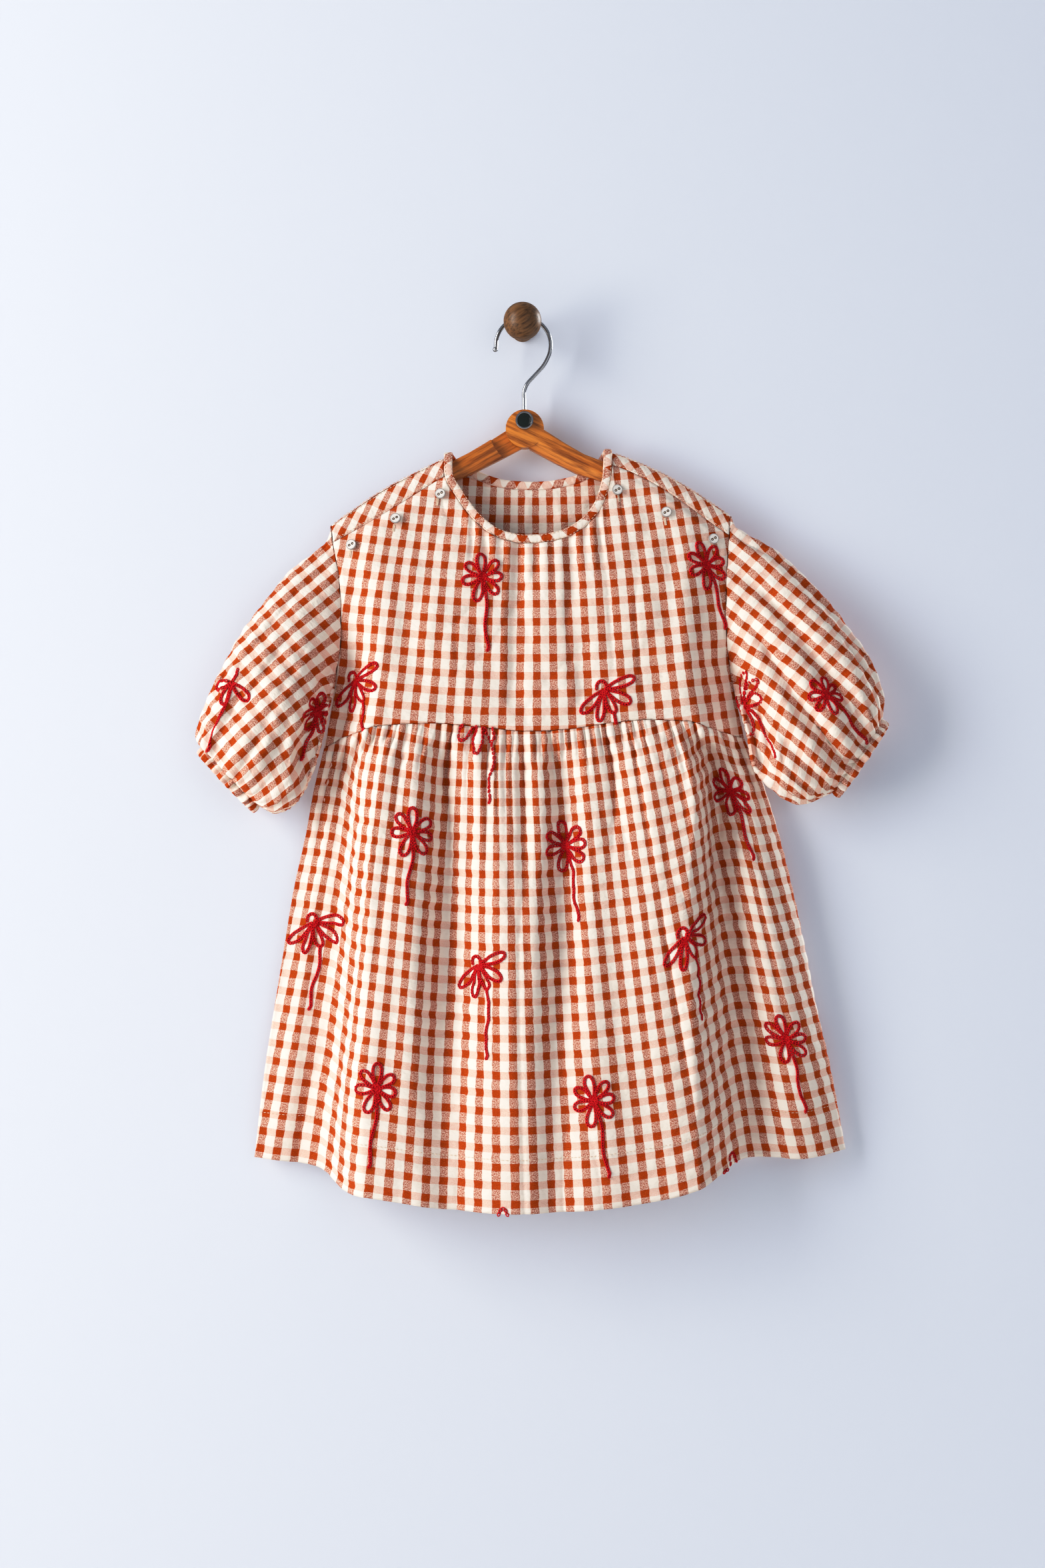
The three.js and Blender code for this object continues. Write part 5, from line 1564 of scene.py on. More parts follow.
def stitch_tree(name: str, form: StitchForm, material: Material) -> Tree:
    """Geometry nodes that set one stitch on every point of a path.

    Args:
        name: Name of the tree.
        form: Sizes of a stitch; a loop is a link of chain stitch, otherwise it is a straight stitch.
        material: Finish of the thread.

    Returns:
        The tree, whose inputs are named for the sizes and the seed.
    """
    tree = bpy.data.node_groups.new(name, "GeometryNodeTree")
    tree.interface.new_socket(name="Geometry", in_out="INPUT", socket_type="NodeSocketGeometry")
    sizes = {"Stitch Length": form.length, "Stitch Width": form.width, "Thread": form.thread}
    for label, value in sizes.items():
        socket = tree.interface.new_socket(name=label, in_out="INPUT", socket_type="NodeSocketFloat")
        socket.default_value = value * MM
    tree.interface.new_socket(name="Seed", in_out="INPUT", socket_type="NodeSocketInt")
    tree.interface.new_socket(name="Geometry", in_out="OUTPUT", socket_type="NodeSocketGeometry")
    given = add_node(tree, "NodeGroupInput").outputs
    if form.loop:
        ring = add_node(tree, "GeometryNodeCurvePrimitiveCircle", {
            "Resolution": 6, "Radius": 0.5,
        }, mode="RADIUS")
        section = add_node(tree, "GeometryNodeCurvePrimitiveCircle", {"Resolution": 3}, mode="RADIUS")
        tree.links.new(given["Thread"], section.inputs["Radius"])
        size = add_node(tree, "ShaderNodeCombineXYZ", {
            0: given["Stitch Length"], 1: given["Stitch Width"], 2: 1.0,
        })
        shaped = add_node(tree, "GeometryNodeTransform", {0: ring, "Scale": size})
        link = add_node(tree, "GeometryNodeCurveToMesh", {0: shaped, 1: section})
        # Each link leans on the next, as the thread comes up inside it.
        link = add_node(tree, "GeometryNodeTransform", {0: link, "Rotation": (0.0, -0.2, 0.0)})
    else:
        bead = add_node(tree, "GeometryNodeMeshUVSphere", {"Segments": 6, "Rings": 4, "Radius": 0.5})
        size = add_node(tree, "ShaderNodeCombineXYZ", {
            0: given["Stitch Length"], 1: given["Stitch Width"], 2: given["Thread"],
        })
        link = add_node(tree, "GeometryNodeTransform", {0: bead, "Scale": size})
    along, up = (
        add_node(tree, "GeometryNodeInputNamedAttribute", {"Name": name}, data_type="FLOAT_VECTOR")
        for name in ("along", "up")
    )
    turn = add_node(tree, "FunctionNodeAxesToRotation", {
        0: up, 1: along,
    }, primary_axis="Z", secondary_axis="X")
    uneven = add_node(tree, "FunctionNodeRandomValue", {
        "Min": (-0.16, -0.16, -0.16), "Max": (0.16, 0.16, 0.16), "Seed": given["Seed"],
    }, data_type="FLOAT_VECTOR")
    lean = add_node(tree, "FunctionNodeEulerToRotation", {0: uneven})
    turned = add_node(tree, "FunctionNodeRotateRotation", {0: turn, 1: lean}, rotation_space="LOCAL")
    placed = add_node(tree, "GeometryNodeInstanceOnPoints", {
        "Points": given["Geometry"], "Instance": link, "Rotation": turned,
    })
    real = add_node(tree, "GeometryNodeRealizeInstances", {0: placed})
    smooth = add_node(tree, "GeometryNodeSetShadeSmooth", {0: real})
    painted = add_node(tree, "GeometryNodeSetMaterial", {0: smooth, "Material": material})
    add_node(tree, "NodeGroupOutput", {0: painted})
    return tree


@dataclass
class StitchRun:
    """Stitches gathered for one piece: where each lies, which way it runs and which way is up."""

    places: list[np.ndarray] = field(default_factory=list)
    alongs: list[np.ndarray] = field(default_factory=list)
    ups: list[np.ndarray] = field(default_factory=list)

    def add(
        self, points: np.ndarray, normals: np.ndarray, lift: float, keep: np.ndarray | None = None
    ) -> None:
        """Adds a line of stitches.

        Args:
            points: Middle of each stitch in mm.
            normals: Direction out of the cloth at each.
            lift: Distance that the thread's middle stands off the cloth's middle surface.
            keep: Whether each is sewn.
        """
        along = np.gradient(points, axis=0)
        along /= np.maximum(np.linalg.norm(along, axis=-1, keepdims=True), 1e-9)
        keep = np.ones(len(points), bool) if keep is None else keep
        self.places.append((points + normals * lift)[keep])
        self.alongs.append(along[keep])
        self.ups.append(normals[keep])

    def build(self, name: str, form: StitchForm, material: Material, seed: int) -> Piece:
        """Makes the stitches' object with geometry nodes and turns it into a plain mesh.

        Args:
            name: Name of the object.
            form: Sizes of a stitch.
            material: Finish of the thread.
            seed: Chooses how unevenly the stitches lie.

        Returns:
            The object.
        """
        mesh = bpy.data.meshes.new(name)
        places = np.concatenate(self.places)
        mesh.from_pydata((places * MM).tolist(), [], [])
        for label, values in (("along", self.alongs), ("up", self.ups)):
            layer = mesh.attributes.new(label, "FLOAT_VECTOR", "POINT")
            layer.data.foreach_set("vector", np.concatenate(values).astype(np.float32).ravel())
        piece = add_object(name, mesh)
        tree = stitch_tree(f"{name}_stitches", form, material)
        modifier = piece.modifiers.new("Stitches", "NODES")
        modifier.node_group = tree
        for socket in tree.interface.items_tree:
            if socket.in_out == "INPUT" and socket.name == "Seed":
                modifier[socket.identifier] = seed
        flatten_modifiers(piece)
        return piece


def walk(line: np.ndarray, pitch: float) -> np.ndarray:
    """Points evenly spaced by a pitch along a polyline.

    Args:
        line: Its points.
        pitch: Distance between the spaced points.

    Returns:
        The middles of the steps.
    """
    run = np.linalg.norm(np.diff(line, axis=0), axis=-1)
    reach = np.concatenate([[0], np.cumsum(run)])
    count = max(2, int(round(reach[-1] / pitch)))
    at = np.linspace(0, reach[-1], count + 1)[:-1] + reach[-1] / count / 2
    return np.stack([np.interp(at, reach, line[:, k]) for k in range(line.shape[1])], -1)


def petal(angle: float, length: float, width: float, start: float = 1.2) -> np.ndarray:
    """Outline of a loop petal: pointed at the flower's middle and round at its tip.

    Args:
        angle: Direction in degrees, 90 is up.
        length: From the middle to the tip in mm.
        width: At its widest.
        start: Distance of its point from the middle.

    Returns:
        Its points in mm.
    """
    turn = np.linspace(0, 2 * np.pi, 40)
    reach = (1 - np.cos(turn)) / 2
    side = width / 2 * np.sin(turn) * (0.35 + 0.8 * reach)
    along = start + (length - start) * reach
    way = math.radians(angle)
    return np.stack([
        along * math.cos(way) - side * math.sin(way),
        along * math.sin(way) + side * math.cos(way),
    ], -1)


def bowed(points: Points) -> np.ndarray:
    """Smooth line through a few points."""
    return PlaneCurve(points).at(np.linspace(0, 1, 50))


class Bloom(Enum):
    """Kinds of embroidered flower."""

    OPEN = "open"
    DROOPING = "drooping"
    NODDING = "nodding"


def flower_lines(bloom: Bloom, size: float, reach: float) -> tuple[list[np.ndarray], np.ndarray]:
    """Lines of chain stitch of a flower, with its middle at 0, 0 and its stem hanging straight down.

    Args:
        bloom: Kind of flower.
        size: Scale of its head, 1 as on the skirt.
        reach: Distance from its middle to the stem's end in mm.

    Returns:
        The lines, and the place of the stem's end.
    """
    petals = {
        Bloom.OPEN: ((92, 18, 7.6), (42, 16.5, 7.6), (-4, 14.5, 7.6), (-52, 17, 7.6), (-108, 18.5, 7.6),
                     (-170, 15, 7.6), (137, 16, 7.6)),
        Bloom.DROOPING: ((20, 24, 7), (-27, 21.5, 8), (-66, 19, 6.5), (-98, 23.5, 6), (-133, 23.5, 7.5)),
        Bloom.NODDING: ((-24, 18.5, 8.5), (-92, 17.5, 7), (-150, 13, 8)),
    }[bloom]
    lines = [petal(*shape) * size for shape in petals]
    root = np.array((0.5, -2.0))
    if bloom is Bloom.OPEN:
        knot = np.linspace(0, 4.4 * np.pi, 60)
        lines.append(np.stack([knot * 0.17 * np.cos(knot), knot * 0.17 * np.sin(knot)], -1) * size)
    elif bloom is Bloom.DROOPING:
        dome = np.linspace(-0.3, np.pi + 0.3, 24)
        lines.append(np.stack([-1.5 + 3.7 * np.cos(dome), 1.6 + 4.6 * np.sin(dome)], -1) * size)
        root = np.array((7.4, -17.8)) * size
    else:
        lines.append(np.array([(0.4, 1.5), (1.6, 6.5), (0.8, 11.0)]) * size)
    end = np.array((root[0], -math.sqrt(max(reach**2 - root[0] ** 2, 1.0))))
    drop = end[1] - root[1]
    if drop < -4:
        bends = (root[0] + 1.5, root[1] + 0.35 * drop), (root[0] - 1.2, root[1] + 0.7 * drop)
        lines.append(bowed((tuple(root), *bends, tuple(end))))
        lines.append(np.array([end, end + (-1.0, -2.4)]))
    return lines, end


@dataclass(frozen=True)
class Flower:
    """A flower sewn on one piece: where the middle of its head and its stem's end are seen, in mm."""

    x: float
    z: float
    end_x: float
    end_z: float
    bloom: Bloom
    size: float = 1.0
    mirrored: bool = False


OPEN, DROOPING = Bloom.OPEN, Bloom.DROOPING
FRONT_SKIRT_FLOWERS = (
    Flower(-29.7, -288.5, -23.5, -351, DROOPING), Flower(-81.4, -377.6, -83.3, -428.2, OPEN),
    Flower(31.8, -387.2, 41.4, -438.3, OPEN), Flower(155, -346.3, 171.5, -394.6, OPEN),
    Flower(-156.5, -444, -157.5, -508.2, DROOPING), Flower(-31.3, -474.4, -25, -538.4, DROOPING),
    Flower(117.5, -451.8, 130.5, -511, DROOPING), Flower(-106, -564, -110.3, -617, OPEN),
    Flower(51.5, -571.7, 62.6, -623.2, OPEN), Flower(195, -529.7, 210, -581.6, OPEN),
    Flower(-13.5, -668, -13.5, -720, OPEN), Flower(158, -640, 160, -697, OPEN),
)
BACK_SKIRT_FLOWERS = (
    Flower(110, -352, 116, -404, OPEN), Flower(-20, -372, -24, -424, OPEN),
    Flower(-120, -392, -128, -452, DROOPING), Flower(40, -448, 42, -510, DROOPING),
    Flower(165, -470, 174, -522, OPEN), Flower(-70, -500, -74, -552, OPEN),
    Flower(95, -560, 100, -612, OPEN), Flower(-150, -560, -160, -612, OPEN),
    Flower(8, -585, 8, -640, DROOPING, mirrored=True),
)
FRONT_BODICE_FLOWERS = (
    Flower(-28.9, -189.4, -24.5, -240.9, OPEN, 0.97), Flower(136, -179.8, 149.9, -222.8, OPEN, 0.97),
    Flower(-124.9, -264.3, -117, -300.7, DROOPING), Flower(59.9, -271.8, 66, -322, DROOPING),
)
BACK_BODICE_FLOWERS = (
    Flower(20, -165, 16, -217, OPEN), Flower(-88, -190, -92, -248, DROOPING),
    Flower(105, -215, 112, -264, OPEN), Flower(-30, -262, -32, -312, OPEN),
)
SLEEVE_FLOWERS = {
    Side.LEFT: (
        (Face.FRONT, Flower(-213, -267, -231, -316, Bloom.NODDING)),
        (Face.FRONT, Flower(-153, -288, -163, -322, OPEN, 0.85)),
        (Face.BACK, Flower(-180, -230, -205, -275, OPEN)),
    ),
    Side.RIGHT: (
        (Face.FRONT, Flower(221, -276, 252, -309, OPEN, 0.82)),
        (Face.FRONT, Flower(163, -284, 186, -318, OPEN)),
        (Face.BACK, Flower(208, -226, 235, -268, OPEN)),
    ),
}


@dataclass
class Embroidery:
    """Chain-stitch flowers sewn on one piece of cloth."""

    pitch: float = 2.0
    form: StitchForm = StitchForm(length=3.0, width=1.7, thread=0.58, loop=True)
    lift: float = 0.85

    def sew(self, run: StitchRun, grid: ClothGrid, flower: Flower, face: Face) -> None:
        """Sews a flower on a grid of cloth.

        Args:
            run: Stitches that it joins.
            grid: Cloth that it lies on.
            flower: What is sewn.
            face: Side of the dress that it is seen from.
        """
        start, shift = grid.locate(flower.x, flower.z, face.value)
        end, end_shift = grid.locate(flower.end_x, flower.end_z, face.value)
        stretch = grid.stretch(start)
        way = np.array([-face.value, 1.0])
        chord = (grid.cloth[end] - grid.cloth[start]) * stretch * way + end_shift - shift
        lines, tip = flower_lines(flower.bloom, flower.size, float(np.linalg.norm(chord)))
        flip = np.array([-1.0 if flower.mirrored else 1.0, 1.0])
        tip = tip * flip
        turn = complex(chord[0], -chord[1]) / complex(*tip)
        turn /= abs(turn)
        for line in lines:
            points = walk(line, self.pitch) * flip
            turned = (points[:, 0] + 1j * points[:, 1]) * turn
            offsets = (np.stack([turned.real, -turned.imag], -1) + shift) * way / stretch
            places, normals, on_cloth = grid.trace(start, offsets)
            run.add(places, normals, self.lift, on_cloth & (normals[:, 1] * face.value > -0.25))


@dataclass
class SewingThread:
    """Straight machine stitches in cream thread."""

    pitch: float = 2.9
    form: StitchForm = StitchForm(length=2.3, width=0.5, thread=0.42, loop=False)
    lift: float = 0.75

    def line(self, run: StitchRun, grid: ClothGrid, rows: np.ndarray, columns: np.ndarray) -> None:
        """Sews along places of a grid, given as fractional rows and columns.

        Args:
            run: Stitches that they join.
            grid: Cloth that is sewn.
            rows: Rows of the places.
            columns: Columns of the places.
        """
        limit = np.array(grid.cloth.shape[:2]) - 1.001
        place = np.clip(np.stack([rows, columns], -1), 0, limit)
        path = ClothGrid.sample(grid.points, place)
        normal = ClothGrid.sample(grid.normals(), place)
        joined = walk(np.concatenate([path, normal], -1), self.pitch)
        normals = joined[:, 3:] / np.linalg.norm(joined[:, 3:], axis=-1, keepdims=True)
        run.add(joined[:, :3], normals, self.lift)


# The dress put together


@dataclass
class Dress:
    """The whole dress: its cloth pieces, seams, embroidery and buttons."""

    cloth_thickness: float = 0.9
    bias_thickness: float = 0.6
    hem_depth: float = 39.0
    grids: dict[str, ClothGrid] = field(default_factory=dict)
    gingham: Material = field(init=False)
    crimson: Material = field(init=False)
    cream: Material = field(init=False)

    def finishes(self) -> None:
        """Makes the cloth's and threads' materials."""
        self.gingham = Gingham().build()
        # The second colour of each thread is the painted shade in the grooves of its twist.
        self.crimson = Thread("cotton_floss_crimson", "#E40E20", "#B40818").build()
        self.cream = Thread("cotton_sewing_thread", "#F6E6D4", "#DFC3AC", 0.7).build()

    def cut(self) -> None:
        """Lays out the grid of every cloth piece."""
        for face in Face:
            self.grids[f"{face.key}_bodice"] = Bodice(face).grid()
            self.grids[f"{face.key}_skirt"] = Skirt(face).grid()
            self.grids[f"neck_binding_{face.key}"] = NeckBinding(face).grid()
            for side in Side:
                self.grids[f"shoulder_band_{face.key}_{side.key}"] = ShoulderBand(side, face).grid()
        for side in Side:
            self.grids[f"sleeve_{side.key}"] = Sleeve(side).grid()
            self.grids[f"cuff_{side.key}"] = Cuff(side).grid()

    # Cut sizes in mm, how each piece is held, and what it hangs from
    CUTS = {
        "front_bodice": (330, 205, 0.045, "hung", ("hanger_arm_left", "hanger_arm_right")),
        "back_bodice": (322, 205, 0.054, "hung", ("hanger_arm_left", "hanger_arm_right")),
        "front_skirt": (460, 352, None, "gathered", ("front_bodice",)),
        "back_skirt": (460, 352, None, "gathered", ("back_bodice",)),
        "sleeve_left": (300, 190, 0.041, "gathered", ("front_bodice",)),
        "sleeve_right": (300, 190, 0.044, "gathered", ("front_bodice",)),
        "cuff_left": (200, 10, None, "gathered", ("sleeve_left",)),
        "cuff_right": (200, 10, None, "gathered", ("sleeve_right",)),
        "neck_binding_front": (225, 15, None, "stretched", ("front_bodice",)),
        "neck_binding_back": (145, 15, None, "stretched", ("back_bodice",)),
        "shoulder_band_front_left": (98, 13, None, "stretched", ("front_bodice",)),
        "shoulder_band_back_left": (98, 20, None, "stretched", ("hanger_arm_left",)),
        "shoulder_band_front_right": (101, 12, None, "stretched", ("front_bodice",)),
        "shoulder_band_back_right": (101, 21, None, "stretched", ("hanger_arm_right",)),
    }

    def sew(self) -> None:
        """Builds every cloth piece and hands it over."""
        for name, grid in self.grids.items():
            biased = name.startswith(("neck", "shoulder"))
            thickness = self.bias_thickness if biased else self.cloth_thickness
            piece = grid.build(f"cloth_{name}", thickness, self.gingham)
            hand_over(piece, "gingham_bias" if biased else "gingham_seersucker", name)

    def embroider(self) -> None:
        """Sews the flowers on their pieces."""
        work = Embroidery()
        plans = {
            "front_skirt": [(Face.FRONT, f) for f in FRONT_SKIRT_FLOWERS],
            "back_skirt": [(Face.BACK, f) for f in BACK_SKIRT_FLOWERS],
            "front_bodice": [(Face.FRONT, f) for f in FRONT_BODICE_FLOWERS],
            "back_bodice": [(Face.BACK, f) for f in BACK_BODICE_FLOWERS],
            "sleeve_left": SLEEVE_FLOWERS[Side.LEFT],
            "sleeve_right": SLEEVE_FLOWERS[Side.RIGHT],
        }
        for seed, (name, flowers) in enumerate(plans.items(), start=1):
            run = StitchRun()
            for face, flower in flowers:
                work.sew(run, self.grids[name], flower, face)
            piece = run.build(f"embroidery_{name}", work.form, self.crimson, seed)
            hand_over(piece, "embroidery_thread")

    def stitch_seams(self) -> None:
        """Sews the hem, the neck bindings and the shoulder bands."""
        work = SewingThread()
        for seed, face in enumerate(Face, start=20):
            run = StitchRun()
            skirt = self.grids[f"{face.key}_skirt"]
            rows, columns = np.array(skirt.cloth.shape[:2]) - 1
            across = np.linspace(0, columns, 500)
            hem_row = rows * (1 - self.hem_depth / Skirt(face).cut_length)
            work.line(run, skirt, np.full_like(across, hem_row), across)
            for side in Side:
                band = self.grids[f"shoulder_band_{face.key}_{side.key}"]
                rows, columns = np.array(band.cloth.shape[:2]) - 1
                along = np.linspace(1, rows - 1, 80)
                for part in (0.09, 0.9):
                    work.line(run, band, along, np.full_like(along, part * columns))
            binding = self.grids[f"neck_binding_{face.key}"]
            rows, columns = np.array(binding.cloth.shape[:2]) - 1
            along = np.linspace(1, rows - 1, 160)
            outer = binding.normals()[rows // 2, :-1, 1] * face.value
            spots = np.nonzero(outer > 0.3)[0]
            for column in (spots[1], spots[-2]):
                work.line(run, binding, along, np.full_like(along, float(column)))
            piece = run.build(f"stitches_{face.key}", work.form, self.cream, seed)
            hand_over(piece, "gingham_seersucker")


def close_ends(piece: Piece) -> None:
    """Closes the open ends of a tube and turns its faces outward.

    Args:
        piece: The tube.
    """
    shape = bmesh.new()
    shape.from_mesh(piece.data)
    bmesh.ops.holes_fill(shape, edges=[e for e in shape.edges if e.is_boundary], sides=0)
    bmesh.ops.recalc_face_normals(shape, faces=shape.faces)
    shape.to_mesh(piece.data)
    shape.free()


def lathe(
    name: str, profile: list[tuple[float, float]], place: tuple[float, float],
    material: Material, segments: int = 64,
) -> Piece:
    """Turned piece about the depth axis.

    Args:
        name: Name of the object.
        profile: Radius and depth of its outline in mm, from axis to axis.
        place: x and z of its axis.
        material: Its finish.
        segments: Steps round.

    Returns:
        The object.
    """
    shape = bmesh.new()
    rings = []
    for radius, depth in profile:
        if radius < 1e-6:
            rings.append([shape.verts.new((place[0] * MM, depth * MM, place[1] * MM))])
            continue
        turns = [2 * math.pi * k / segments for k in range(segments)]
        rings.append([
            shape.verts.new((
                (place[0] + radius * math.cos(t)) * MM, depth * MM, (place[1] + radius * math.sin(t)) * MM,
            )) for t in turns
        ])
    for low, high in zip(rings, rings[1:]):
        for k in range(segments):
            n = (k + 1) % segments
            corners = [low[k % len(low)], low[n % len(low)], high[n % len(high)], high[k % len(high)]]
            unique = list(dict.fromkeys(corners))
            if len(unique) > 2:
                shape.faces.new(unique)
    bmesh.ops.recalc_face_normals(shape, faces=shape.faces)
    mesh = bpy.data.meshes.new(name)
    shape.to_mesh(mesh)
    shape.free()
    mesh.materials.append(material)
    return add_object(name, mesh)


def soften_edges(piece: Piece, width: float, angle: float = 30.0) -> None:
    """Rounds the sharp edges of a piece.

    Args:
        piece: The object.
        width: Width of the rounding in mm.
        angle: Least angle of an edge in degrees.
    """
    bevel = piece.modifiers.new("Edges", "BEVEL")
    bevel.width = width * MM
    bevel.segments = 3
    bevel.limit_method = "ANGLE"
    bevel.angle_limit = math.radians(angle)
    bevel.use_clamp_overlap = True


@dataclass
class ShellButtons:
    """Two-hole shell buttons in their rows, sewn on with thread, and the ends of their buttonholes."""

    finish: Shell = Shell()
    thickness: float = 1.6
    rounding: float = 0.35
    turn: float = 0.5
    dish: float = 0.35
    bar_length: float = 5.5
    bar: StitchForm = StitchForm(length=0.7, width=1.1, thread=0.5, loop=False)
    names: tuple[str, ...] = tuple(f"button_{side.key}_{i}" for side in Side for i in (1, 2, 3))

    def build(self, grid: ClothGrid, thread: Material) -> None:
        """Sets each button on the bodice where its solid is.

        Args:
            grid: Cloth of the bodice's front.
            thread: Finish of the thread.
        """
        shell = self.finish.build()
        for index, name in enumerate(self.names):
            low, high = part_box(name)
            middle = (np.array(low) + np.array(high)) / 2 / MM
            spot, _ = grid.locate(middle[0], middle[2], Face.FRONT.value)
            around = tuple(slice(max(0, place - 3), place + 4) for place in spot)
            normal = grid.normals()[around].mean(axis=(0, 1))
            normal /= np.linalg.norm(normal)
            self.button(name, middle, normal, shell)
            run = StitchRun()
            span = np.linspace(-self.finish.hole_apart, self.finish.hole_apart, 3)[:, None]
            side, _ = self.frame_of(normal)
            run.add(middle + side * span + normal * (self.thickness / 2 - 0.3), np.tile(normal, (3, 1)), 0.1)
            # The bar of close stitches that ends the buttonhole shows below the button.
            down = self.finish.radius + np.arange(0.2, self.bar_length, 0.55)
            for shift in (-0.5, 0.5):
                places, ups, _ = grid.trace(spot, np.stack([np.full_like(down, shift), down], -1))
                run.add(places, ups, 0.7)
            hand_over(run.build(f"thread_{name}", self.bar, thread, 40 + index), "gingham_seersucker")

    def frame_of(self, normal: np.ndarray) -> tuple[np.ndarray, np.ndarray]:
        """Two directions in the button's plane, turned as its holes are.

        Args:
            normal: Direction of the button's axis.

        Returns:
            The directions of the button's own x and y.
        """
        side = np.cross(np.array([0.0, 0.0, 1.0]), normal)
        side /= np.linalg.norm(side)
        up = np.cross(normal, side)
        cosine, sine = math.cos(self.turn), math.sin(self.turn)
        return side * cosine + up * sine, up * cosine - side * sine

    def button(self, name: str, middle: np.ndarray, normal: np.ndarray, shell: Material) -> None:
        """One button with its two holes and a rounded, dished face.

        Args:
            name: Name of its solid.
            middle: Its middle in mm.
            normal: Direction of its axis.
            shell: Its finish.
        """
        curve = bpy.data.curves.new(name, "CURVE")
        curve.dimensions = "2D"
        curve.fill_mode = "BOTH"
        hole, apart = self.finish.hole, self.finish.hole_apart
        rings = (self.finish.radius - self.rounding, 0, 48), (hole, apart, 12), (hole, -apart, 12)
        for radius, offset, points in rings:
            spline = curve.splines.new("POLY")
            spline.points.add(points - 1)
            for k, point in enumerate(spline.points):
                turn = 2 * math.pi * k / points
                point.co = (offset + radius * math.cos(turn), radius * math.sin(turn), 0, 1)
            spline.use_cyclic_u = True
        curve.extrude = self.thickness / 2 - self.rounding
        curve.bevel_depth = self.rounding
        curve.bevel_resolution = 2
        flat = bpy.data.objects.new(name, curve)
        bpy.context.scene.collection.objects.link(flat)
        mesh = bpy.data.meshes.new_from_object(flat.evaluated_get(bpy.context.evaluated_depsgraph_get()))
        bpy.data.objects.remove(flat)
        side, up = self.frame_of(normal)
        layer = mesh.uv_layers.new(name="UVMap") if not mesh.uv_layers else mesh.uv_layers[0]
        layer.name = "UVMap"
        for loop in mesh.loops:
            layer.data[loop.index].uv = Vector(mesh.vertices[loop.vertex_index].co[:2]) * MM
        for vertex in mesh.vertices:
            x, y, z = vertex.co
            rise = self.dish * (math.hypot(x, y) / self.finish.radius) ** 2 if z > 0 else 0
            place = middle + side * x + up * y + normal * (z + rise - 0.15)
            vertex.co = Vector(place * MM)
        mesh.materials.clear()
        mesh.materials.append(shell)
        piece = add_object(f"shell_{name}", mesh, smooth=False)
        shade_by_angle(piece)
        hand_over(piece, "button_shell", name)


def shade_by_angle(piece: Piece, angle: float = 35.0) -> None:
    """Shades a piece smooth except across its sharp edges.

    Args:
        piece: The object.
        angle: Least angle of a sharp edge in degrees.
    """
    mesh = piece.data
    mesh.polygons.foreach_set("use_smooth", [True] * len(mesh.polygons))
    mesh.set_sharp_from_angle(angle=math.radians(angle))


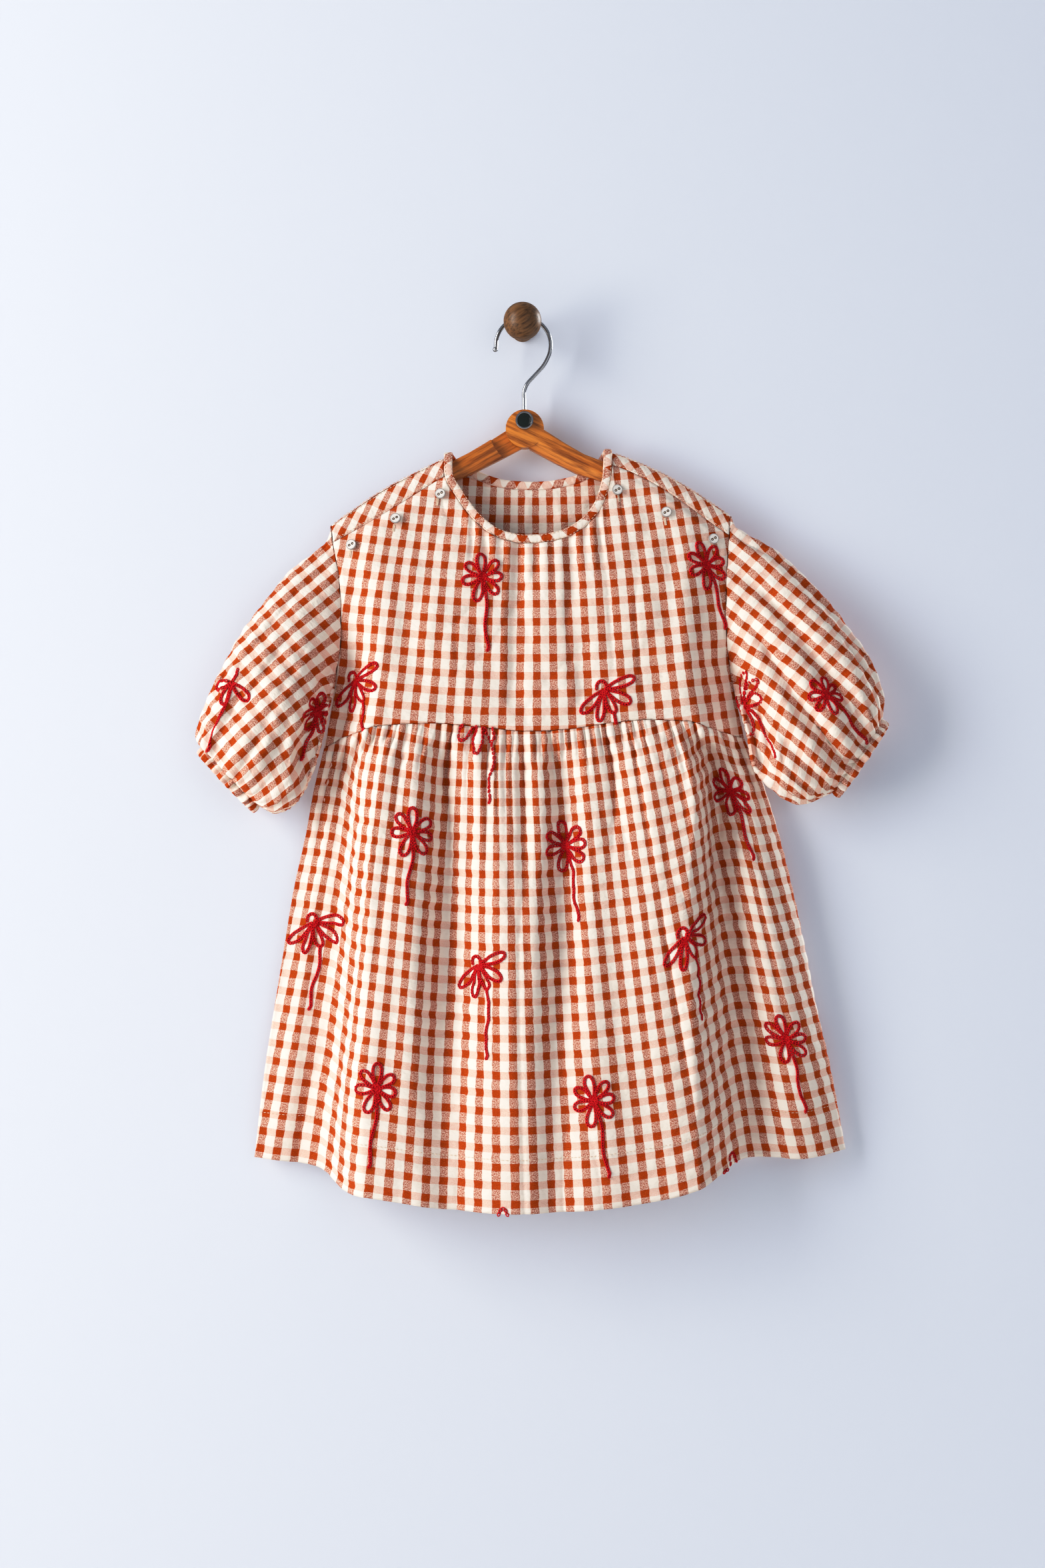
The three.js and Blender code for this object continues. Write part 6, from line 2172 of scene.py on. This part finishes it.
@dataclass
class Hanger:
    """Folding wooden hanger with its rivet and wire hook, and the turned peg that holds it."""

    wire: float = 1.45
    arm_middle: float = -17.0
    hook_tip: tuple[float, float] = (-20.6, -19.4)
    loop: tuple[float, float, float] = (0.6, -14.2, 20.4)
    tail: Points = (
        (19.6, -22), (15.6, -29.6), (9.4, -36.6), (3.4, -43.4), (1.2, -49), (1.2, -56), (1.2, -65.6),
    )
    bead: float = 1.9
    rivet: tuple[float, float] = (1.4, -71.7)
    rivet_face: float = -22.8
    rivet_back: float = -11.2
    arm_rounding: float = 0.9
    ball: float = 14.0
    ball_depth: float = -34.0
    stem: float = 4.2
    foot: float = 8.5
    slopes: dict[str, float] = field(default_factory=lambda: {"left": 0.5, "right": -0.44})

    def build(self) -> None:
        """Makes the arms, the rivet, the hook and the peg."""
        for side, slope in self.slopes.items():
            wood = OiledWood(f"beech_oiled_{side}", "#EFA64F", "#D07E2D", "#7A3E12", slope).build()
            self.arm(f"hanger_arm_{side}", wood)
        chrome = Polished("steel_chrome_plated", "#9EA0A4", "#B8BABE", 1.0, 0.16).build()
        inlay = Polished("enamel_dark", "#101A17", "#1C2A25", 0.0, 0.12, 250.0, 0.5).build()
        self.rivets(chrome, inlay)
        self.hook(chrome)
        walnut = OiledWood("walnut_turned_oiled", "#94704A", "#74502F", "#3C2613", 0.6, 1.4, 0.45, 0.08)
        self.peg(walnut.build())

    def arm(self, node: str, wood: Material) -> None:
        """Wooden arm with rounded edges, from the solid's own form.

        Args:
            node: Name of the solid.
            wood: Its finish.
        """
        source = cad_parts[node]
        shape = bmesh.new()
        shape.from_mesh(source.data)
        bmesh.ops.remove_doubles(shape, verts=shape.verts, dist=2e-5)
        bmesh.ops.dissolve_limit(shape, angle_limit=math.radians(1.5), verts=shape.verts, edges=shape.edges)
        mesh = bpy.data.meshes.new(f"wood_{node}")
        shape.to_mesh(mesh)
        shape.free()
        mesh.materials.clear()
        mesh.materials.append(wood)
        piece = add_object(f"wood_{node}", mesh, smooth=False)
        soften_edges(piece, self.arm_rounding)
        flatten_modifiers(piece)
        shade_by_angle(piece)
        hand_over(piece, "hanger_wood", node)

    def rivets(self, chrome: Material, inlay: Material) -> None:
        """Chrome rivet with its dark inlay left plain.

        Args:
            chrome: Finish of the rivet.
            inlay: Finish of the inlay.
        """
        face, back = self.rivet_face, self.rivet_back
        ring = [(0, face - 1.6), (5.3, face - 1.6), (5.3, face - 4.0), (5.5, face - 4.2), (6.2, face - 4.2),
                (6.6, face - 3.8), (6.6, face - 0.2), (6.4, face), (2.4, face), (2.4, back), (5.4, back),
                (5.6, back + 0.3), (5.2, back + 1.2), (0, back + 1.3)]
        piece = lathe("chrome_rivet", ring, self.rivet, chrome)
        shade_by_angle(piece)
        hand_over(piece, "chrome", "hanger_rivet")
        face -= 1.9
        dome = [(0, face), (5.1, face), (5.1, face - 1.6)]
        dome += [(5.1 * math.cos(t), face - 1.6 - 0.6 * math.sin(t)) for t in np.linspace(0.15, 1.5, 8)]
        piece = lathe("dark_inlay", [*dome, (0, face - 2.2)], self.rivet, inlay)
        shade_by_angle(piece)
        hand_over(piece, "dark_inlay", "rivet_inlay")

    def hook(self, chrome: Material) -> None:
        """Bent wire with a bead on its tip.

        Args:
            chrome: Its finish.
        """
        x, z, radius = self.loop
        turns = [math.radians(a) for a in range(182, -9, -10)]
        arc = [(x + radius * math.cos(t), z + radius * math.sin(t)) for t in turns]
        curve = PlaneCurve((self.hook_tip, *arc, *self.tail))
        reach = np.concatenate([np.linspace(0, 4.2, 12), np.linspace(4.2, curve.length, 150)[1:]])
        bead = self.bead * np.sqrt(np.clip(1 - ((reach - self.bead) / 2.0) ** 2, 0.0004, 1))
        thick = np.where(reach > self.bead, np.maximum(bead, self.wire * ease(2.0, 3.0, reach)), bead)
        thick = np.where(reach > 3.9, self.wire, thick)
        middle, run = curve.at(reach / curve.length), curve.tangent(reach / curve.length)
        turn = np.linspace(0, 2 * np.pi, 21)
        across = np.stack([-run[:, 1], np.zeros(len(run)), run[:, 0]], -1)[:, None]
        centre = np.stack([middle[:, 0], np.full(len(run), self.arm_middle), middle[:, 1]], -1)[:, None]
        around = across * np.cos(turn)[None, :, None] + np.array([0, 1.0, 0]) * np.sin(turn)[None, :, None]
        points = centre + around * thick[:, None, None]
        cloth = np.zeros((*points.shape[:2], 2))
        piece = ClothGrid(points, cloth, closed=True).build("chrome_hook", 1, chrome)
        piece.modifiers.clear()
        close_ends(piece)
        hand_over(piece, "chrome", "hanger_hook")

    def peg(self, wood: Material) -> None:
        """Ball on a stem with a flat foot on the wall.

        Args:
            wood: Its finish.
        """
        ball, depth, stem, foot = self.ball, self.ball_depth, self.stem, self.foot
        profile = [(0, 0), (foot, 0), (foot, -2.2), (foot - 0.4, -2.9), (foot - 1.2, -3.2), (stem, -4)]
        meet = math.acos(stem / ball)
        turns = np.linspace(meet, -math.pi / 2 + 0.03, 40)
        profile += [(ball * math.cos(t), depth + ball * math.sin(t)) for t in turns]
        piece = lathe("wood_peg", [*profile, (0, depth - ball)], (0, 0), wood, 72)
        shade_by_angle(piece)
        hand_over(piece, "peg_wood", "wall_peg")


@dataclass
class Studio:
    """Pale wall and floor, soft light from the upper left, and the camera."""

    wall: str = "#DDE4F1"
    floor: str = "#E9E7E4"
    reach: float = 4.0
    floor_height: float = -1.05
    wall_height: float = 3.0
    front: float = -5.0
    target: tuple[float, float, float] = (0.0, -0.03, -0.35)

    def plane(
        self, name: str, corners: list[tuple[float, float, float]], colour: str, one_sided: bool
    ) -> None:
        """Flat backdrop.

        Args:
            name: Its name.
            corners: Its corners in metres.
            colour: Colour of its paint.
            one_sided: Whether it is seen from its front only and casts no shadow.
        """
        mesh = bpy.data.meshes.new(name)
        mesh.from_pydata(corners, [], [(0, 1, 2, 3)])
        material, tree = new_material(name)
        paint = add_node(tree, "ShaderNodeBsdfDiffuse", {"Color": colour})
        if one_sided:
            behind = add_node(tree, "ShaderNodeNewGeometry").outputs["Backfacing"]
            clear = add_node(tree, "ShaderNodeBsdfTransparent")
            paint = add_node(tree, "ShaderNodeMixShader", {0: behind, 1: paint, 2: clear})
        add_node(tree, "ShaderNodeOutputMaterial", {"Surface": paint})
        mesh.materials.append(material)
        piece = add_object(name, mesh, smooth=False)
        if one_sided:
            piece.visible_shadow = False
            piece.visible_diffuse = False
            piece.visible_glossy = False

    def light(
        self, name: str, place: tuple[float, float, float], size: tuple[float, float], power: float,
        colour: str,
    ) -> None:
        """Soft light aimed at the dress.

        Args:
            name: Its name.
            place: Where it stands, in metres.
            size: Its width and height in metres.
            power: Its power in watts.
            colour: Its colour.
        """
        lamp = bpy.data.lights.new(name, "AREA")
        lamp.shape = "RECTANGLE"
        lamp.size, lamp.size_y = size
        lamp.energy = power
        lamp.color = linear(colour)[:3]
        holder = bpy.data.objects.new(name, lamp)
        holder.location = place
        holder.rotation_euler = (Vector(self.target) - Vector(place)).to_track_quat("-Z", "Y").to_euler()
        bpy.context.scene.collection.objects.link(holder)

    def camera(self) -> None:
        """Camera level with the middle of the dress, square to the wall."""
        lens = bpy.data.cameras.new("camera")
        lens.sensor_fit = "VERTICAL"
        lens.sensor_height = 36.0
        lens.lens = 36.0 * CAMERA_DISTANCE / FRAME_HEIGHT
        holder = bpy.data.objects.new("camera", lens)
        holder.location = (0.0, (FRAME_PLANE - CAMERA_DISTANCE) * MM, FRAME_MIDDLE * MM)
        holder.rotation_euler = (math.pi / 2, 0.0, 0.0)
        bpy.context.scene.collection.objects.link(holder)
        bpy.context.scene.camera = holder

    def develop(self) -> None:
        """Gives the picture the gentle contrast of a print."""
        view = bpy.context.scene.view_settings
        view.view_transform = "Standard"
        view.use_curve_mapping = True
        curve = view.curve_mapping.curves[3]
        for before, after in ((0.1, 0.062), (0.25, 0.205), (0.5, 0.525), (0.75, 0.82)):
            curve.points.new(before, after)
        view.curve_mapping.update()

    def build(self) -> None:
        """Sets up the backdrop, lights, world and camera."""
        wide, low, high = self.reach, self.floor_height, self.wall_height
        upright = [(-wide, 0, low), (wide, 0, low), (wide, 0, high), (-wide, 0, high)]
        level = [(-wide, self.front, low), (wide, self.front, low), (wide, wide, low), (-wide, wide, low)]
        self.plane("studio_wall", upright, self.wall, True)
        self.plane("studio_floor", level, self.floor, False)
        self.light("key", (-2.25, -1.25, 0.2), (1.0, 2.6), 70.0, "#FFFBF6")
        self.light("fill", (1.3, -2.2, 0.0), (1.4, 1.4), 5.0, "#FFFDFB")
        self.light("back", (1.9, 1.2, 0.6), (1.0, 1.0), 38.0, "#FFFFFF")
        world = bpy.data.worlds.new("studio")
        world.use_nodes = True
        world.node_tree.nodes.clear()
        sky = add_node(world.node_tree, "ShaderNodeBackground", {
            "Color": "#E9EDF7", "Strength": 0.39,
        })
        add_node(world.node_tree, "ShaderNodeOutputWorld", {"Surface": sky})
        bpy.context.scene.world = world
        self.develop()
        self.camera()


def main() -> None:
    """Builds the dress, its hanger and the studio, and reports each piece."""
    logging.basicConfig(level=logging.INFO, format="%(name)s %(message)s")
    Studio().build()
    dress = Dress()
    dress.finishes()
    dress.cut()
    dress.sew()
    dress.embroider()
    dress.stitch_seams()
    ShellButtons().build(dress.grids["front_bodice"], dress.cream)
    Hanger().build()


if __name__ == "__main__":
    main()
